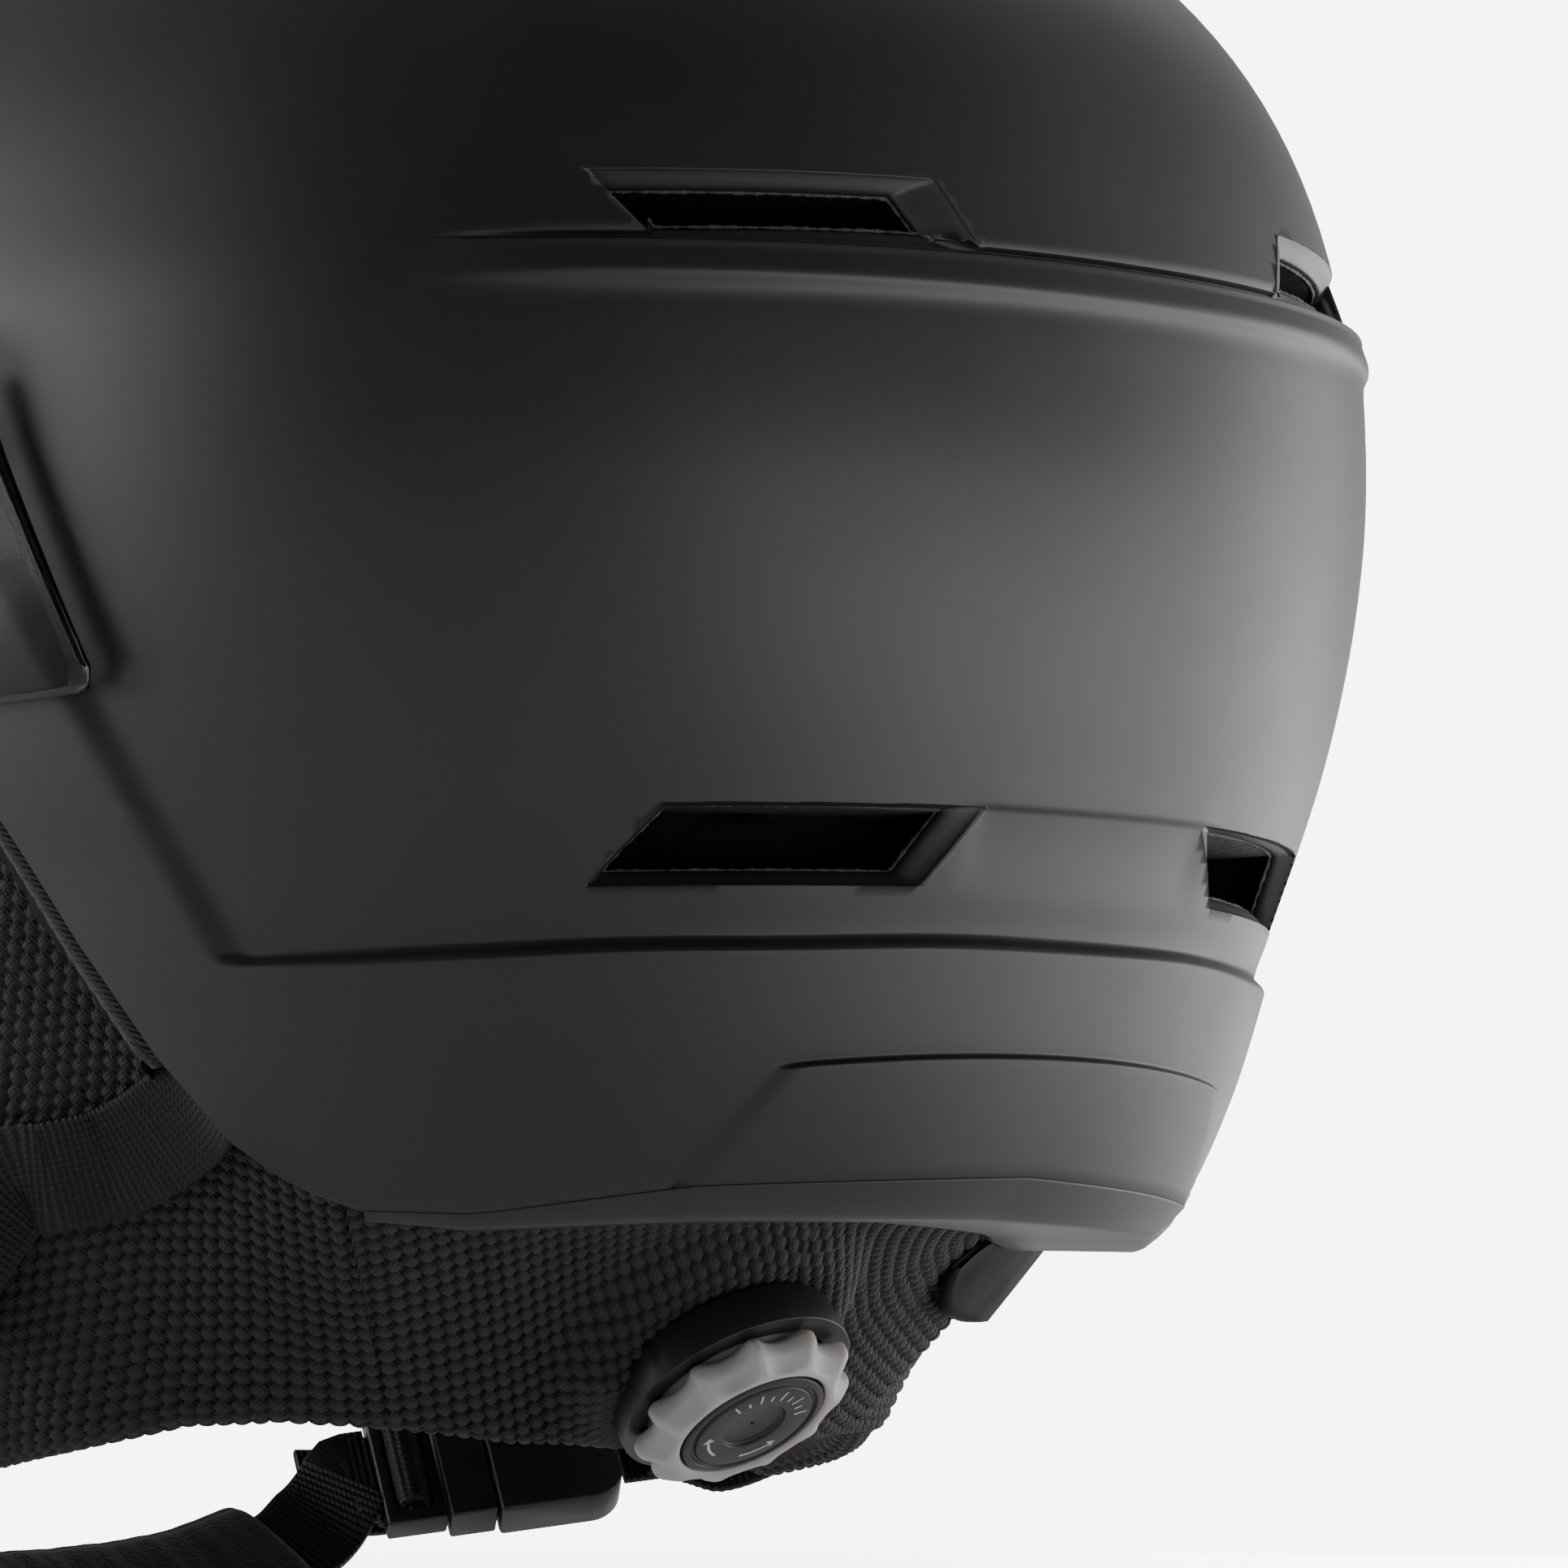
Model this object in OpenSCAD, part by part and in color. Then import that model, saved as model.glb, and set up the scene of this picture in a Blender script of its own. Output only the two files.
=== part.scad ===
// Ski helmet with a swing-up visor, a nape fit dial and a buckled chin strap.
// Frame: +X is the wearer's left, +Y is the rear, +Z is up.
// The origin is the middle of the head opening, level with the bottom of the tail.
// Angles round the helmet start at the rear and grow towards the wearer's left.

/* [Shell] */
// Half width of the shell at its widest level
shell_half_w = 110; // [104:0.5:118]
// Rear length of the shell from the origin
shell_rear = 129; // [122:0.5:138]
// Front length of the shell from the origin
shell_front = 134; // [128:0.5:142]
// Height of the widest level above the tail
belt_z = 108; // [102:0.5:114]
// Height of the crown above the widest level
crown_h = 92; // [86:0.5:100]
// Inward taper of the shell from the widest level to the tail
tail_in = 0.21; // [0.18:0.005:0.24]
// Thickness of the shell
shell_wall = 2.2; // [1.6:0.1:2.8]
// Gap between pieces that are seated on each other
seat_gap = 0.3; // [0.2:0.05:0.5]

/* [Vents] */
// Width of each rear vent
vent_w = 44; // [34:1:48]
// Height of the upper vents
upper_vent_h = 8; // [5:0.5:9]
// Height of the lower vents
lower_vent_h = 8; // [5:0.5:9]
// Slant of the vent ends
vent_slant = 8; // [3:0.5:10]
// Height of the middle of the upper vents
upper_vent_z = 127.5; // [124:0.5:132]
// Height of the middle of the lower vents
lower_vent_z = 48; // [44:0.5:52]

/* [Lining] */
// Half width of the head cavity
head_half_w = 81; // [76:0.5:84]
// Length of the head cavity to the rear and to the front
head_reach = 101; // [97:0.5:104]
// Height of the head cavity above the widest level
head_crown = 64; // [60:0.5:68]
// Thickness of the comfort pads
pad_t = 5; // [3:0.5:7]
// Thickness of the ear pads and the neck roll
ear_t = 9; // [7:0.5:11]
// Depth of the ear pads below the tail
ear_drop = 30; // [26:0.5:34]

/* [Visor] */
// Gap between the shell and the lens
lens_gap = 3.4; // [3.2:0.1:4.2]
// Thickness of the lens
lens_t = 2.2; // [1.6:0.1:2.6]
// Width of the black edge frame
frame_w = 2.6; // [2:0.1:4]
// Radius of the pivot post
pivot_r = 4; // [3:0.25:5]
// Radius of the pivot hub
hub_r = 10; // [8.5:0.5:11]
// Distance of the pivots behind the origin
pivot_y = 4; // [2:0.5:6]
// Height of the pivots
pivot_z = 100; // [98:0.5:104]

/* [Fit dial] */
// Outer radius of the dial ring
dial_r = 16; // [14.5:0.25:17]
// Radius of the dial's disc
disc_r = 10.5; // [9:0.25:11.5]
// Height of the dial ring
dial_h = 7.5; // [6.5:0.25:9]
// Slope of the dial axis below the horizontal
dial_drop = 54; // [50:1:58]
// Distance of the dial's face behind the origin
dial_y = 53.3; // [51:0.1:55]
// Depth of the dial's face below the tail
dial_z = -25.6; // [-28:0.1:-24]
// Number of finger scallops round the dial
scallops = 11; // [8:1:14]
// Radius of the pinion shaft
shaft_r = 2.95; // [2.5:0.05:3.4]
// Radial clearance of turning shafts
running_gap = 0.05; // [0.03:0.01:0.09]

/* [Straps] */
// Width of the webbing
web_w = 15; // [12:0.5:17]
// Thickness of the webbing
web_t = 1.5; // [1.2:0.1:1.8]
// Width of the chin pad sleeve
chin_pad_w = 22; // [20:0.5:26]
// Thickness of the chin pad sleeve
chin_pad_t = 9; // [7:0.5:11]
// Clearance of the buckle plug in its socket
plug_gap = 0.35; // [0.25:0.05:0.5]

/* [Hidden] */
plan_pow = 2.2;
dome_pow = 2.45;
rise = 1.8;
round_fn = 48;
cut_past = 1;

// Forms: half width, rear length, front length, crown height, side taper, rear taper, 1 where trimmed
shell_form = [shell_half_w, shell_rear, shell_front, crown_h, tail_in, tail_in, 1];
head_form = [head_half_w, head_reach, head_reach, head_crown, 0.08, 0.25, 0];
// Share of the radius that the trim leaves at each height: a waist under the vents, a dome set back
trim_line = [[0, 0.973], [36, 0.977], [46, 0.981], [54, 0.988], [63, 0.9945], [77, 0.9985], [95, 0.996],
  [108, 0.99], [118, 0.9875], [135, 0.97]];

function inset(f, d) = [f[0] - d, f[1] - d, f[2] - d, f[3] - d, f[4], f[5], f[6]];
function mix(a, b, t) = a + (b - a) * t;
function clamp(t) = max(0, min(1, t));

// Plan radius of a form at an angle
function reach(f, a) =
  let (l = cos(a) > 0 ? f[1] : f[2])
  pow(pow(abs(sin(a)) / f[0], plan_pow) + pow(abs(cos(a)) / l, plan_pow), -1 / plan_pow);
function taper_of(f, a) = mix(f[4], f[5], clamp(cos(a)));
// Share of the plan radius that is left at a height
function share(f, a, z) = z >= belt_z
  ? pow(max(0, 1 - pow(min(1, (z - belt_z) / f[3]), dome_pow)), 1 / dome_pow)
  : 1 - taper_of(f, a) * pow((belt_z - z) / belt_z, 1.5);
function trim_of(f, z) = f[6] == 0 ? 1 : lookup(z, trim_line);
function radius_at(f, a, z) = reach(f, a) * share(f, a, z) * trim_of(f, z);
function polar(q, a, z) = [q * sin(a), q * cos(a), z];
function on_form(f, a, z) = polar(radius_at(f, a, z), a, z);
// Levels run evenly from the edge to the crown: below zero under the belt, 90 at the crown
function level_of(f, z) = z < belt_z
  ? (z - belt_z) / rise
  : asin(pow(min(1, (z - belt_z) / f[3]), dome_pow / 2));
function height_at(f, h) = h < 0
  ? belt_z + h * rise
  : belt_z + f[3] * pow(sin(h), 2 / dome_pow);
function at_level(f, a, h) =
  let (z = height_at(f, h))
  h < 0 ? on_form(f, a, z) : polar(reach(f, a) * pow(cos(h), 2 / dome_pow) * trim_of(f, z), a, z);

// Lower edge of the shell: the tail, the sweep round the ear and the brow
edge_line = [[0, 1.5], [28, 0.6], [45, -0.5], [54, 0.7], [60, 5.5], [64, 10.2], [70, 21.5], [76, 36.5],
  [82, 54], [88, 70], [95, 83], [104, 92], [120, 97], [180, 99]];
function turn_of(a) = abs(a > 180 ? a - 360 : a);
function edge_z(a) = lookup(turn_of(a), edge_line);
// Height of the fold above the edge, where the shell meets the rim
fold_line = [[0, 5.2], [28, 4], [42, 1.8], [54, 0.9], [58, 0]];
function fold_h(a) = lookup(turn_of(a), fold_line);
function shell_low(a) = edge_z(a) + fold_h(a) + seat_gap * min(1, fold_h(a));
// Inner edge of the rim and of the shell's mouth
rim_end = 52;
roll_end = 57;
rim_t = 2;
rim_wall = 1.5;
rim_line = [[0, -26], [35, -26], [45, -22], [52, -14], [58, -6], [180, -5]];
function mouth_r(a) = radius_at(shell_form, a, edge_z(a)) + lookup(turn_of(a), rim_line);

// A skin between two grids of points, columns round and rows up
module skin(outer, inner, closed = false, poles = []) {
  n = len(outer);
  m = len(outer[0]);
  top = m - 1;
  last = n - 1;
  function o(i, j) = (i % n) * m + j;
  function s(i, j) = n * m + (i % n) * m + j;
  po = 2 * n * m;
  pi = po + 1;
  points = concat([for (c = outer) each c], [for (c = inner) each c], poles);
  runs = [0 : closed ? n - 1 : n - 2];
  faces = concat(
    [for (i = runs, j = [0 : m - 2]) each [[o(i, j), o(i + 1, j), o(i + 1, j + 1)],
      [o(i, j), o(i + 1, j + 1), o(i, j + 1)], [s(i, j), s(i + 1, j + 1), s(i + 1, j)],
      [s(i, j), s(i, j + 1), s(i + 1, j + 1)]]],
    [for (i = runs) each [[o(i + 1, 0), o(i, 0), s(i, 0)], [o(i + 1, 0), s(i, 0), s(i + 1, 0)]]],
    len(poles) > 0
      ? [for (i = runs) each [[o(i, top), o(i + 1, top), po], [s(i + 1, top), s(i, top), pi]]]
      : [for (i = runs) each [[o(i, top), o(i + 1, top), s(i + 1, top)],
          [o(i, top), s(i + 1, top), s(i, top)]]],
    closed ? [] : [for (j = [0 : m - 2]) each [[o(0, j), o(0, j + 1), s(0, j + 1)],
      [o(0, j), s(0, j + 1), s(0, j)], [o(last, j + 1), o(last, j), s(last, j)],
      [o(last, j + 1), s(last, j), s(last, j + 1)]]]);
  polyhedron(points, faces, convexity = 8);
}

// A closed dome between two forms, from lower edges given for each column to the crown
module dome(outer, inner, low_out, low_in, rows) {
  n = len(low_out);
  function column(f, low) = [for (i = [0 : n - 1])
    let (a = 360 * i / n, h = level_of(f, low[i]))
    [for (j = [0 : rows - 1]) at_level(f, a, mix(h, 90, j / rows))]];
  skin(column(outer, low_out), column(inner, low_in), closed = true,
    poles = [[0, 0, belt_z + outer[3]], [0, 0, belt_z + inner[3]]]);
}

// A patch between two forms over a span of angles and heights
module patch(outer, inner, a0, a1, z0, z1, cols = 8, rows = 4) {
  function grid(f) = [for (i = [0 : cols])
    let (a = mix(a0, a1, i / cols), g = i == 0 || i == cols ? (z1 - z0) * 0.15 : 0)
    [for (j = [0 : rows]) on_form(f, a, mix(z0 + g, z1 - g, j / rows))]];
  skin(grid(outer), grid(inner));
}

function unit(v) = v / norm(v);
// Tangent of a route at one of its points
function tangent(p, i) = unit(p[min(i + 1, len(p) - 1)] - p[max(i - 1, 0)]);

// A flat ribbon along a route. Each place gives a point, the way its width lies and, in a list, its width
module ribbon(points, widths, w, t) {
  n = len(points);
  function cross_at(i) =
    let (d = tangent(points, i), side = unit(widths[i] - d * (d * widths[i])))
    let (u = side * (is_list(w) ? w[i] : w) / 2, v = cross(d, side) * t / 2)
    [points[i] - u - v, points[i] + u - v, points[i] + u + v, points[i] - u + v];
  polyhedron([for (i = [0 : n - 1]) each cross_at(i)],
    concat([[0, 1, 2], [0, 2, 3]],
      [for (i = [0 : n - 2], k = [0 : 3]) each let (b = i * 4, c = b + 4, e = (k + 1) % 4)
        [[b + k, c + k, c + e], [b + k, c + e, b + e]]],
      [[4 * n - 1, 4 * n - 2, 4 * n - 3], [4 * n - 1, 4 * n - 3, 4 * n - 4]]), convexity = 6);
}

// Points between hand-set places on a smooth curve
function spline(p, i, t) =
  let (a = p[max(i - 1, 0)], b = p[i], c = p[i + 1], d = p[min(i + 2, len(p) - 1)])
  0.5 * (2 * b + (c - a) * t + (2 * a - 5 * b + 4 * c - d) * t * t + (3 * b - a - 3 * c + d) * t * t * t);
function smooth(p, steps = 4) =
  concat([for (i = [0 : len(p) - 2], k = [0 : steps - 1]) spline(p, i, k / steps)], [p[len(p) - 1]]);

module flip_x(flip) {
  if (flip)
    mirror([1, 0, 0]) children();
  else
    children();
}

// ---- Shell and foam ----
shell_cols = 72;
liner_cols = 72;
foam_gap = 0.8;
pad_gap = 0.8;
vent_depth = 60;

// One vent's slot, as a slanted prism along its own direction
module vent_cut(a, z, h, slant, grow) {
  w = vent_w / 2 + grow;
  lean = slant / 2;
  half = h / 2 + grow;
  rotate([0, 0, 90 - a])
    translate([head_half_w - vent_depth / 2, 0, z])
      rotate([90, 0, 90])
        linear_extrude(vent_depth + shell_rear - head_half_w)
          polygon([[-w - lean, -half], [w - lean, -half], [w + lean, half], [-w + lean, half]]);
}
vent_a = 25;
module vent_cuts(grow = 0) {
  for (flip = [false, true])
    flip_x(flip) {
      vent_cut(vent_a, upper_vent_z, upper_vent_h, -vent_slant, grow);
      vent_cut(vent_a, lower_vent_z, lower_vent_h, vent_slant, grow);
    }
}

pivot_seat_x = shell_half_w - 1.4;
base_r = 7.5;
module along_x(x, y = pivot_y, z = pivot_z) {
  translate([x, y, z])
    rotate([0, 90, 0])
      children();
}

module outer_shell() {
  low = [for (i = [0 : shell_cols - 1]) shell_low(360 * i / shell_cols)];
  color([0.11, 0.11, 0.12])
    difference() {
      dome(shell_form, inset(shell_form, shell_wall), low, low, 18);
      vent_cuts();
      for (flip = [false, true])
        flip_x(flip)
          along_x(pivot_seat_x)
            cylinder(h = 10, r = base_r + seat_gap, $fn = round_fn);
    }
}

module lower_rim() {
  function section(a, d) =
    let (z = edge_z(a), f = fold_h(a), t = min(rim_t, f * 0.8))
    let (r = radius_at(shell_form, a, z), q = mouth_r(a))
    d == 0
      ? [polar(q, a, z + 0.3), polar(r - 1.6, a, z), polar(r - 0.3, a, z + min(1.2, f * 0.4)),
          on_form(shell_form, a, z + f)]
      : [polar(q, a, z + t + 0.3), polar(r - rim_wall - 0.4, a, z + t),
          polar(r - rim_wall - 0.1, a, z + t + 0.1), on_form(inset(shell_form, rim_wall), a, z + f)];
  angles = [for (i = [-19 : 19]) i * rim_end / 19];
  color([0.13, 0.13, 0.14])
    skin([for (a = angles) section(a, 0)], [for (a = angles) section(a, 1)]);
}

rail_w = 30;
rail_low = 14;
rail_high = 58;
rail_back = 93;
rail_cut = 30;
anchor_r = 8;
anchor_t = 2.4;
anchor_depth = 9.8;
rear_anchor = [50, 34];
front_anchor = [99, 104];
strap_slot = 5;
// A disc's place on the inside of the shell, square to it
module at_anchor(place, depth) {
  function r(dz) = radius_at(shell_form, place[0], place[1] + dz);
  lean = atan((r(5) - r(-5)) / 10);
  rotate([0, 0, 90 - place[0]])
    translate([r(0), 0, place[1]])
      rotate([0, 90 + lean, 0])
        translate([0, 0, -depth])
          children();
}
module anchor_cuts() {
  for (flip = [false, true], place = [rear_anchor, front_anchor])
    flip_x(flip)
      at_anchor(place, anchor_depth + seat_gap)
        cylinder(h = 14, r = anchor_r + 0.6, $fn = round_fn);
}

module foam_body() {
  out_form = inset(shell_form, shell_wall + foam_gap);
  low_out = [for (i = [0 : liner_cols - 1])
    let (a = 360 * i / liner_cols) edge_z(a) + (turn_of(a) < rim_end ? rim_t + 0.9 : 2.2)];
  difference() {
    dome(out_form, head_form, low_out, low_out, 14);
    vent_cuts(0.8);
    translate([-rail_w / 2 - seat_gap, rail_back - rail_cut, rail_low - rail_cut])
      cube([rail_w + 2 * seat_gap, rail_cut + seat_gap, rail_high - rail_low + rail_cut + seat_gap]);
    anchor_cuts();
    for (flip = [false, true])
      flip_x(flip)
        strap_slots();
  }
}
// The foam is a ring of six blocks with a crown on top
foam_split_z = 156;
foam_rear_end = 60;
foam_side_end = 118;
foam_past = 200;
module foam_crown() {
  color([0.2, 0.2, 0.21])
    intersection() {
      foam_body();
      translate([-foam_past, -foam_past, foam_split_z + seat_gap])
        cube([2 * foam_past, 2 * foam_past, foam_past]);
    }
}
module foam_block(flip, from, to) {
  color([0.2, 0.2, 0.21])
    flip_x(flip)
      intersection() {
        foam_body();
        linear_extrude(foam_split_z)
          offset(delta = -seat_gap / 2)
            polygon([[0, 0], for (i = [0 : 4])
              let (a = mix(from, to, i / 4)) [foam_past * sin(a), foam_past * cos(a)]]);
      }
}

// Slots in the foam for the webbing, from the anchors to the shell's mouth
module strap_slots() {
  rear_slot = concat(rear_route_in, [outside_pt(70.5, 15), outside_pt(75, 11.6)]);
  ribbon(rear_slot, [for (p = rear_slot) shell_slope(p)], web_w + 3, strap_slot);
  front_slot = concat(front_route_in, [inside_pt(100, 76, 4.6)]);
  ribbon(front_slot, [for (p = front_slot) front_way], web_w + 3, strap_slot);
}

module brow_seal() {
  seal_t = 1.5;
  angles = [for (i = [0 : 20]) mix(112, 248, i / 20)];
  function row(a, out, half) = [for (z = [-half, 0, half])
    on_form(inset(shell_form, -out), a, edge_z(a) + 4.5 + z)];
  color([0.06, 0.06, 0.06])
    skin([for (a = angles) row(a, seal_t, 3)], [for (a = angles) row(a, seat_gap, 3.5)]);
}

// ---- Comfort pads ----
module crown_pad() {
  f = inset(head_form, pad_gap);
  low = [for (i = [0 : 29]) height_at(f, 52)];
  color([0.1, 0.1, 0.11])
    dome(f, inset(f, pad_t), low, low, 5);
}
module brow_pad() {
  color([0.1, 0.1, 0.11])
    patch(inset(head_form, pad_gap), inset(head_form, pad_gap + pad_t), 128, 232, 103, 124, 16, 3);
}
module side_pad(flip) {
  color([0.1, 0.1, 0.11])
    flip_x(flip)
      patch(inset(head_form, pad_gap), inset(head_form, pad_gap + pad_t), 52, 118, 102, 136, 10, 3);
}

// ---- Ear pads and neck roll ----
knit_low_line = [[0, 36], [35, 36], [46, 39], [60, 55], [70, 65], [80, 71], [92, 78], [103, 81],
  [118, 82]];
knit_pow_line = [[0, 0.4], [22, 0.35], [40, 0.22], [52, 0.25], [60, 1.2], [180, 1.5]];
pad_low_line = [[0, -1.5], [38, -1], [60, -2.6], [70, -4.2], [80, -4.2], [92, -0.9], [103, 1.5],
  [110, -1], [115, -7], [118, -14]];
pad_top_line = [[0, 0], [88, 0], [95, -30], [105, -68], [112, -90], [118, -103]];
function knit_low_z(a) = -ear_drop - lookup(turn_of(a), pad_low_line);
function knit_top_z(a) =
  edge_z(a) + (turn_of(a) < roll_end ? 1.6 : -0.2) + lookup(turn_of(a), pad_top_line);
// Outer radius of the knit skin below the shell's mouth
function knit_r(a, z) =
  let (t = turn_of(a), z1 = edge_z(a) + 1, z0 = -ear_drop, u = clamp((z - z0) / (z1 - z0)))
  mix(lookup(t, knit_low_line), mouth_r(a) - 0.5, 1 - pow(1 - u, lookup(t, knit_pow_line)));
function knit_grid(angles, rows, d) = [for (a = angles)
  let (z0 = knit_low_z(a), z1 = knit_top_z(a))
  [for (j = [0 : rows]) let (e = j == 0 || j == rows ? d * 0.25 : 0, z = mix(z0, z1, j / rows))
    polar(knit_r(a, z) - d, a, z + (j == 0 ? e : 0))]];

module neck_roll() {
  angles = [for (i = [-14 : 14]) i * roll_end / 14];
  color([0.07, 0.07, 0.07])
    difference() {
      skin(knit_grid(angles, 6, 0), knit_grid(angles, 6, ear_t));
      on_dial(-60)
        cylinder(h = 80, r = plate_r + seat_gap, $fn = round_fn);
      on_dial(-collar_low)
        cylinder(h = 40, r = collar_r + 0.6, $fn = round_fn);
      on_dial(-rack_low - 1)
        translate([-band_slot_w / 2, -band_slot_w / 5, 0])
          cube([band_slot_w, band_slot_w * 2 / 5, 5]);
      band_tunnels();
    }
}

ear_start = roll_end + 0.4;
ear_end = 117;
module ear_pad(flip) {
  angles = [for (i = [0 : 14]) mix(ear_start, ear_end, i / 14)];
  color([0.07, 0.07, 0.07])
    flip_x(flip)
      skin(knit_grid(angles, 8, 0), knit_grid(angles, 8, ear_t));
}

// Twill tape along the shell's mouth, in front of the webbing
module ear_binding(flip) {
  binding_t = 2.1;
  function row(a, d) = [for (z = [-3.8, -2.4, -1])
    polar(radius_at(shell_form, a, edge_z(a)) - binding_t - d, a, edge_z(a) + z)];
  angles = [for (i = [0 : 8]) mix(72.5, 88, i / 8)];
  color([0.16, 0.16, 0.16])
    flip_x(flip)
      skin([for (a = angles) row(a, 0.1)], [for (a = angles) row(a, 0.1 + binding_t)]);
}

// Loose tab of the right ear pad's lining
module ear_flap_right() {
  angles = [for (i = [0 : 5]) mix(-84, -66, i / 5)];
  low = [-5, -9, -11.5, -11.5, -9.5, -4];
  function grid(d) = [for (i = [0 : 5])
    [for (j = [0 : 3]) let (z = mix(low[i], mix(-1.5, 6, i / 5), j / 3))
      polar(knit_r(angles[i], z) + d, angles[i], z)]];
  color([0.07, 0.07, 0.07])
    skin(grid(4.4), grid(0.4));
}

// ---- Visor ----
lens_cols = 40;
lens_rows = 8;
lens_low_line = [[70, 68], [78, 67], [92, 67], [104, 61], [118, 41], [132, 21], [148, 10.5], [160, 12],
  [170, 22], [176, 32], [180, 34]];
lens_top_line = [[72, 113], [86, 119], [98, 123], [180, 124]];
lens_rear_a = 70.1;
lens_rear_slope = 0.214;
function lens_k(a) = mix(0.19, 0, clamp((turn_of(a) - lens_rear_a) / 43));
function lens_pt(a, z, d) =
  let (f = inset(shell_form, -d), k = lens_k(a), g = [f[0], f[1], f[2], f[3], k, k, 0])
  on_form(g, a, z);
function rear_a(z) = lens_rear_a + (z - lookup(70, lens_low_line)) * lens_rear_slope;
function lens_a(i, z) = 180 - (1 - 2 * i / lens_cols) * (180 - rear_a(z));
function lens_low(i) = lookup(turn_of(lens_a(i, 70)), lens_low_line);
function lens_top(i) = lookup(turn_of(lens_a(i, 100)), lens_top_line);
lens_x = shell_half_w + lens_gap + lens_t + 0.2;

module visor_lens() {
  function grid(d) = [for (i = [0 : lens_cols])
    [for (j = [0 : lens_rows]) let (z = mix(lens_low(i), lens_top(i), j / lens_rows))
      lens_pt(lens_a(i, z), z, d)]];
  color([0.3, 0.3, 0.32, 0.5])
    difference() {
      skin(grid(lens_gap + lens_t), grid(lens_gap));
      for (flip = [false, true])
        flip_x(flip)
          along_x(shell_half_w)
            cylinder(h = 12, r = pivot_r + 1, $fn = round_fn);
    }
}

// Black edge on the inside of the lens, down the rear edges and along the bottom
module visor_frame() {
  turn = frame_w * 0.6;
  bottom_w = frame_w / 2;
  rear_z = [106, 98, 90, 82, 75];
  left = [for (z = rear_z) [[rear_a(z) + 0.2, z], [rear_a(z) + 0.2 + turn, z]]];
  low = [for (i = [0 : lens_cols])
    let (z = lens_low(i) + 0.3, a = lens_a(i, z), side = i == 0 ? 1 : i == lens_cols ? -1 : 0)
    [[a + side * 0.2, z], [a + side * (0.2 + turn), z + bottom_w]]];
  right = [for (i = [len(left) - 1 : -1 : 0]) [for (p = left[i]) [360 - p[0], p[1]]]];
  path = concat(left, low, right);
  color([0.03, 0.03, 0.03])
    skin([for (c = path) [for (p = c) lens_pt(p[0], p[1], lens_gap - 0.2)]],
      [for (c = path) [for (p = c) lens_pt(p[0], p[1], lens_gap - 1.8)]]);
}

module visor_seal() {
  depth = 8;
  above = 6.2;
  function grid(d, half) = [for (i = [12 : 28])
    [for (side = [-1, 1]) let (z = lens_low(i) + above + side * half) lens_pt(lens_a(i, z), z, d)]];
  color([0.08, 0.08, 0.08])
    skin(grid(lens_gap - 0.2, 4), grid(lens_gap - depth, 2.5));
}

module visor_hub(flip) {
  color([0.05, 0.05, 0.05])
    flip_x(flip)
      along_x(lens_x + 0.1)
        difference() {
          union() {
            cylinder(h = 2, r = hub_r, $fn = round_fn);
            translate([0, 0, 2])
              cylinder(h = 0.8, r1 = hub_r, r2 = hub_r - 0.8, $fn = round_fn);
          }
          translate([0, 0, -cut_past])
            cylinder(h = 5, r = pivot_r + running_gap, $fn = round_fn);
        }
}
module pivot_base(flip) {
  seat = pivot_seat_x + seat_gap;
  flange_x = shell_half_w + lens_gap - 1.6;
  color([0.1, 0.1, 0.1])
    flip_x(flip)
      along_x(seat)
        difference() {
          union() {
            cylinder(h = flange_x - seat, r = base_r, $fn = round_fn);
            cylinder(h = lens_x + 3.1 - seat, r = pivot_r, $fn = round_fn);
          }
          translate([0, 0, lens_x - 5 - seat])
            cylinder(h = 12, r = 1.5 + running_gap, $fn = 24);
        }
}
module pivot_screw(flip) {
  head_x = lens_x + 3.2;
  color([0.25, 0.25, 0.26])
    flip_x(flip) {
      along_x(head_x)
        difference() {
          cylinder(h = 1.6, r = pivot_r + 2, $fn = round_fn);
          for (turn = [0, 90])
            rotate([0, 0, turn])
              translate([-2.2, -0.45, 0.8])
                cube([4.4, 0.9, 2]);
        }
      along_x(head_x - 6)
        cylinder(h = 6.2, r = 1.5, $fn = 24);
    }
}

// ---- Fit system ----
grip_h = 5.4;
ring_hub_r = 13;
collar_r = 16.9;
collar_high = 5.8;
pocket_low = 8;
collar_low = 12;
plate_r = 15.8;
plate_low = 15;
rack_low = 18.5;
cover_high = 19.2;
cover_low = 21;
teeth = 12;
pitch_r = 6;
tooth_pitch = 2 * PI * pitch_r / teeth;
addendum = 0.6;
dedendum = 0.9;
backlash = 0.12;
press_a = 20;
rack_back = 3;

// Local axes: Z points out of the dial's face, X is the row's own X
module on_dial(s) {
  translate([0, dial_y, dial_z])
    rotate([-90 - dial_drop, 0, 0])
      translate([0, 0, s])
        children();
}
function dial_point(x, y, s) =
  [x, dial_y + y * cos(-90 - dial_drop) - s * sin(-90 - dial_drop),
    dial_z + y * sin(-90 - dial_drop) + s * cos(-90 - dial_drop)];

module dial_ring() {
  ledge = 3.9;
  web = 1.5;
  low = dial_h - grip_h;
  color([0.62, 0.64, 0.63])
    on_dial(-dial_h)
      difference() {
        rotate_extrude($fn = 72)
          polygon([[shaft_r - 0.6, 0], [ring_hub_r, 0], [ring_hub_r, low], [dial_r - 1, low],
            [dial_r, low + 1], [dial_r, dial_h - 1.4], [dial_r - 1.4, dial_h],
            [disc_r + 0.3, dial_h], [disc_r + 0.3, dial_h - ledge], [disc_r - 1.5, dial_h - ledge],
            [disc_r - 1.5, web], [shaft_r - 0.6, web]]);
        for (i = [0 : scallops - 1])
          rotate([0, 0, 360 * i / scallops])
            translate([dial_r + 3, 0, -cut_past])
              cylinder(h = dial_h + 2 * cut_past, r = 4.2, $fn = round_fn);
      }
}
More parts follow.
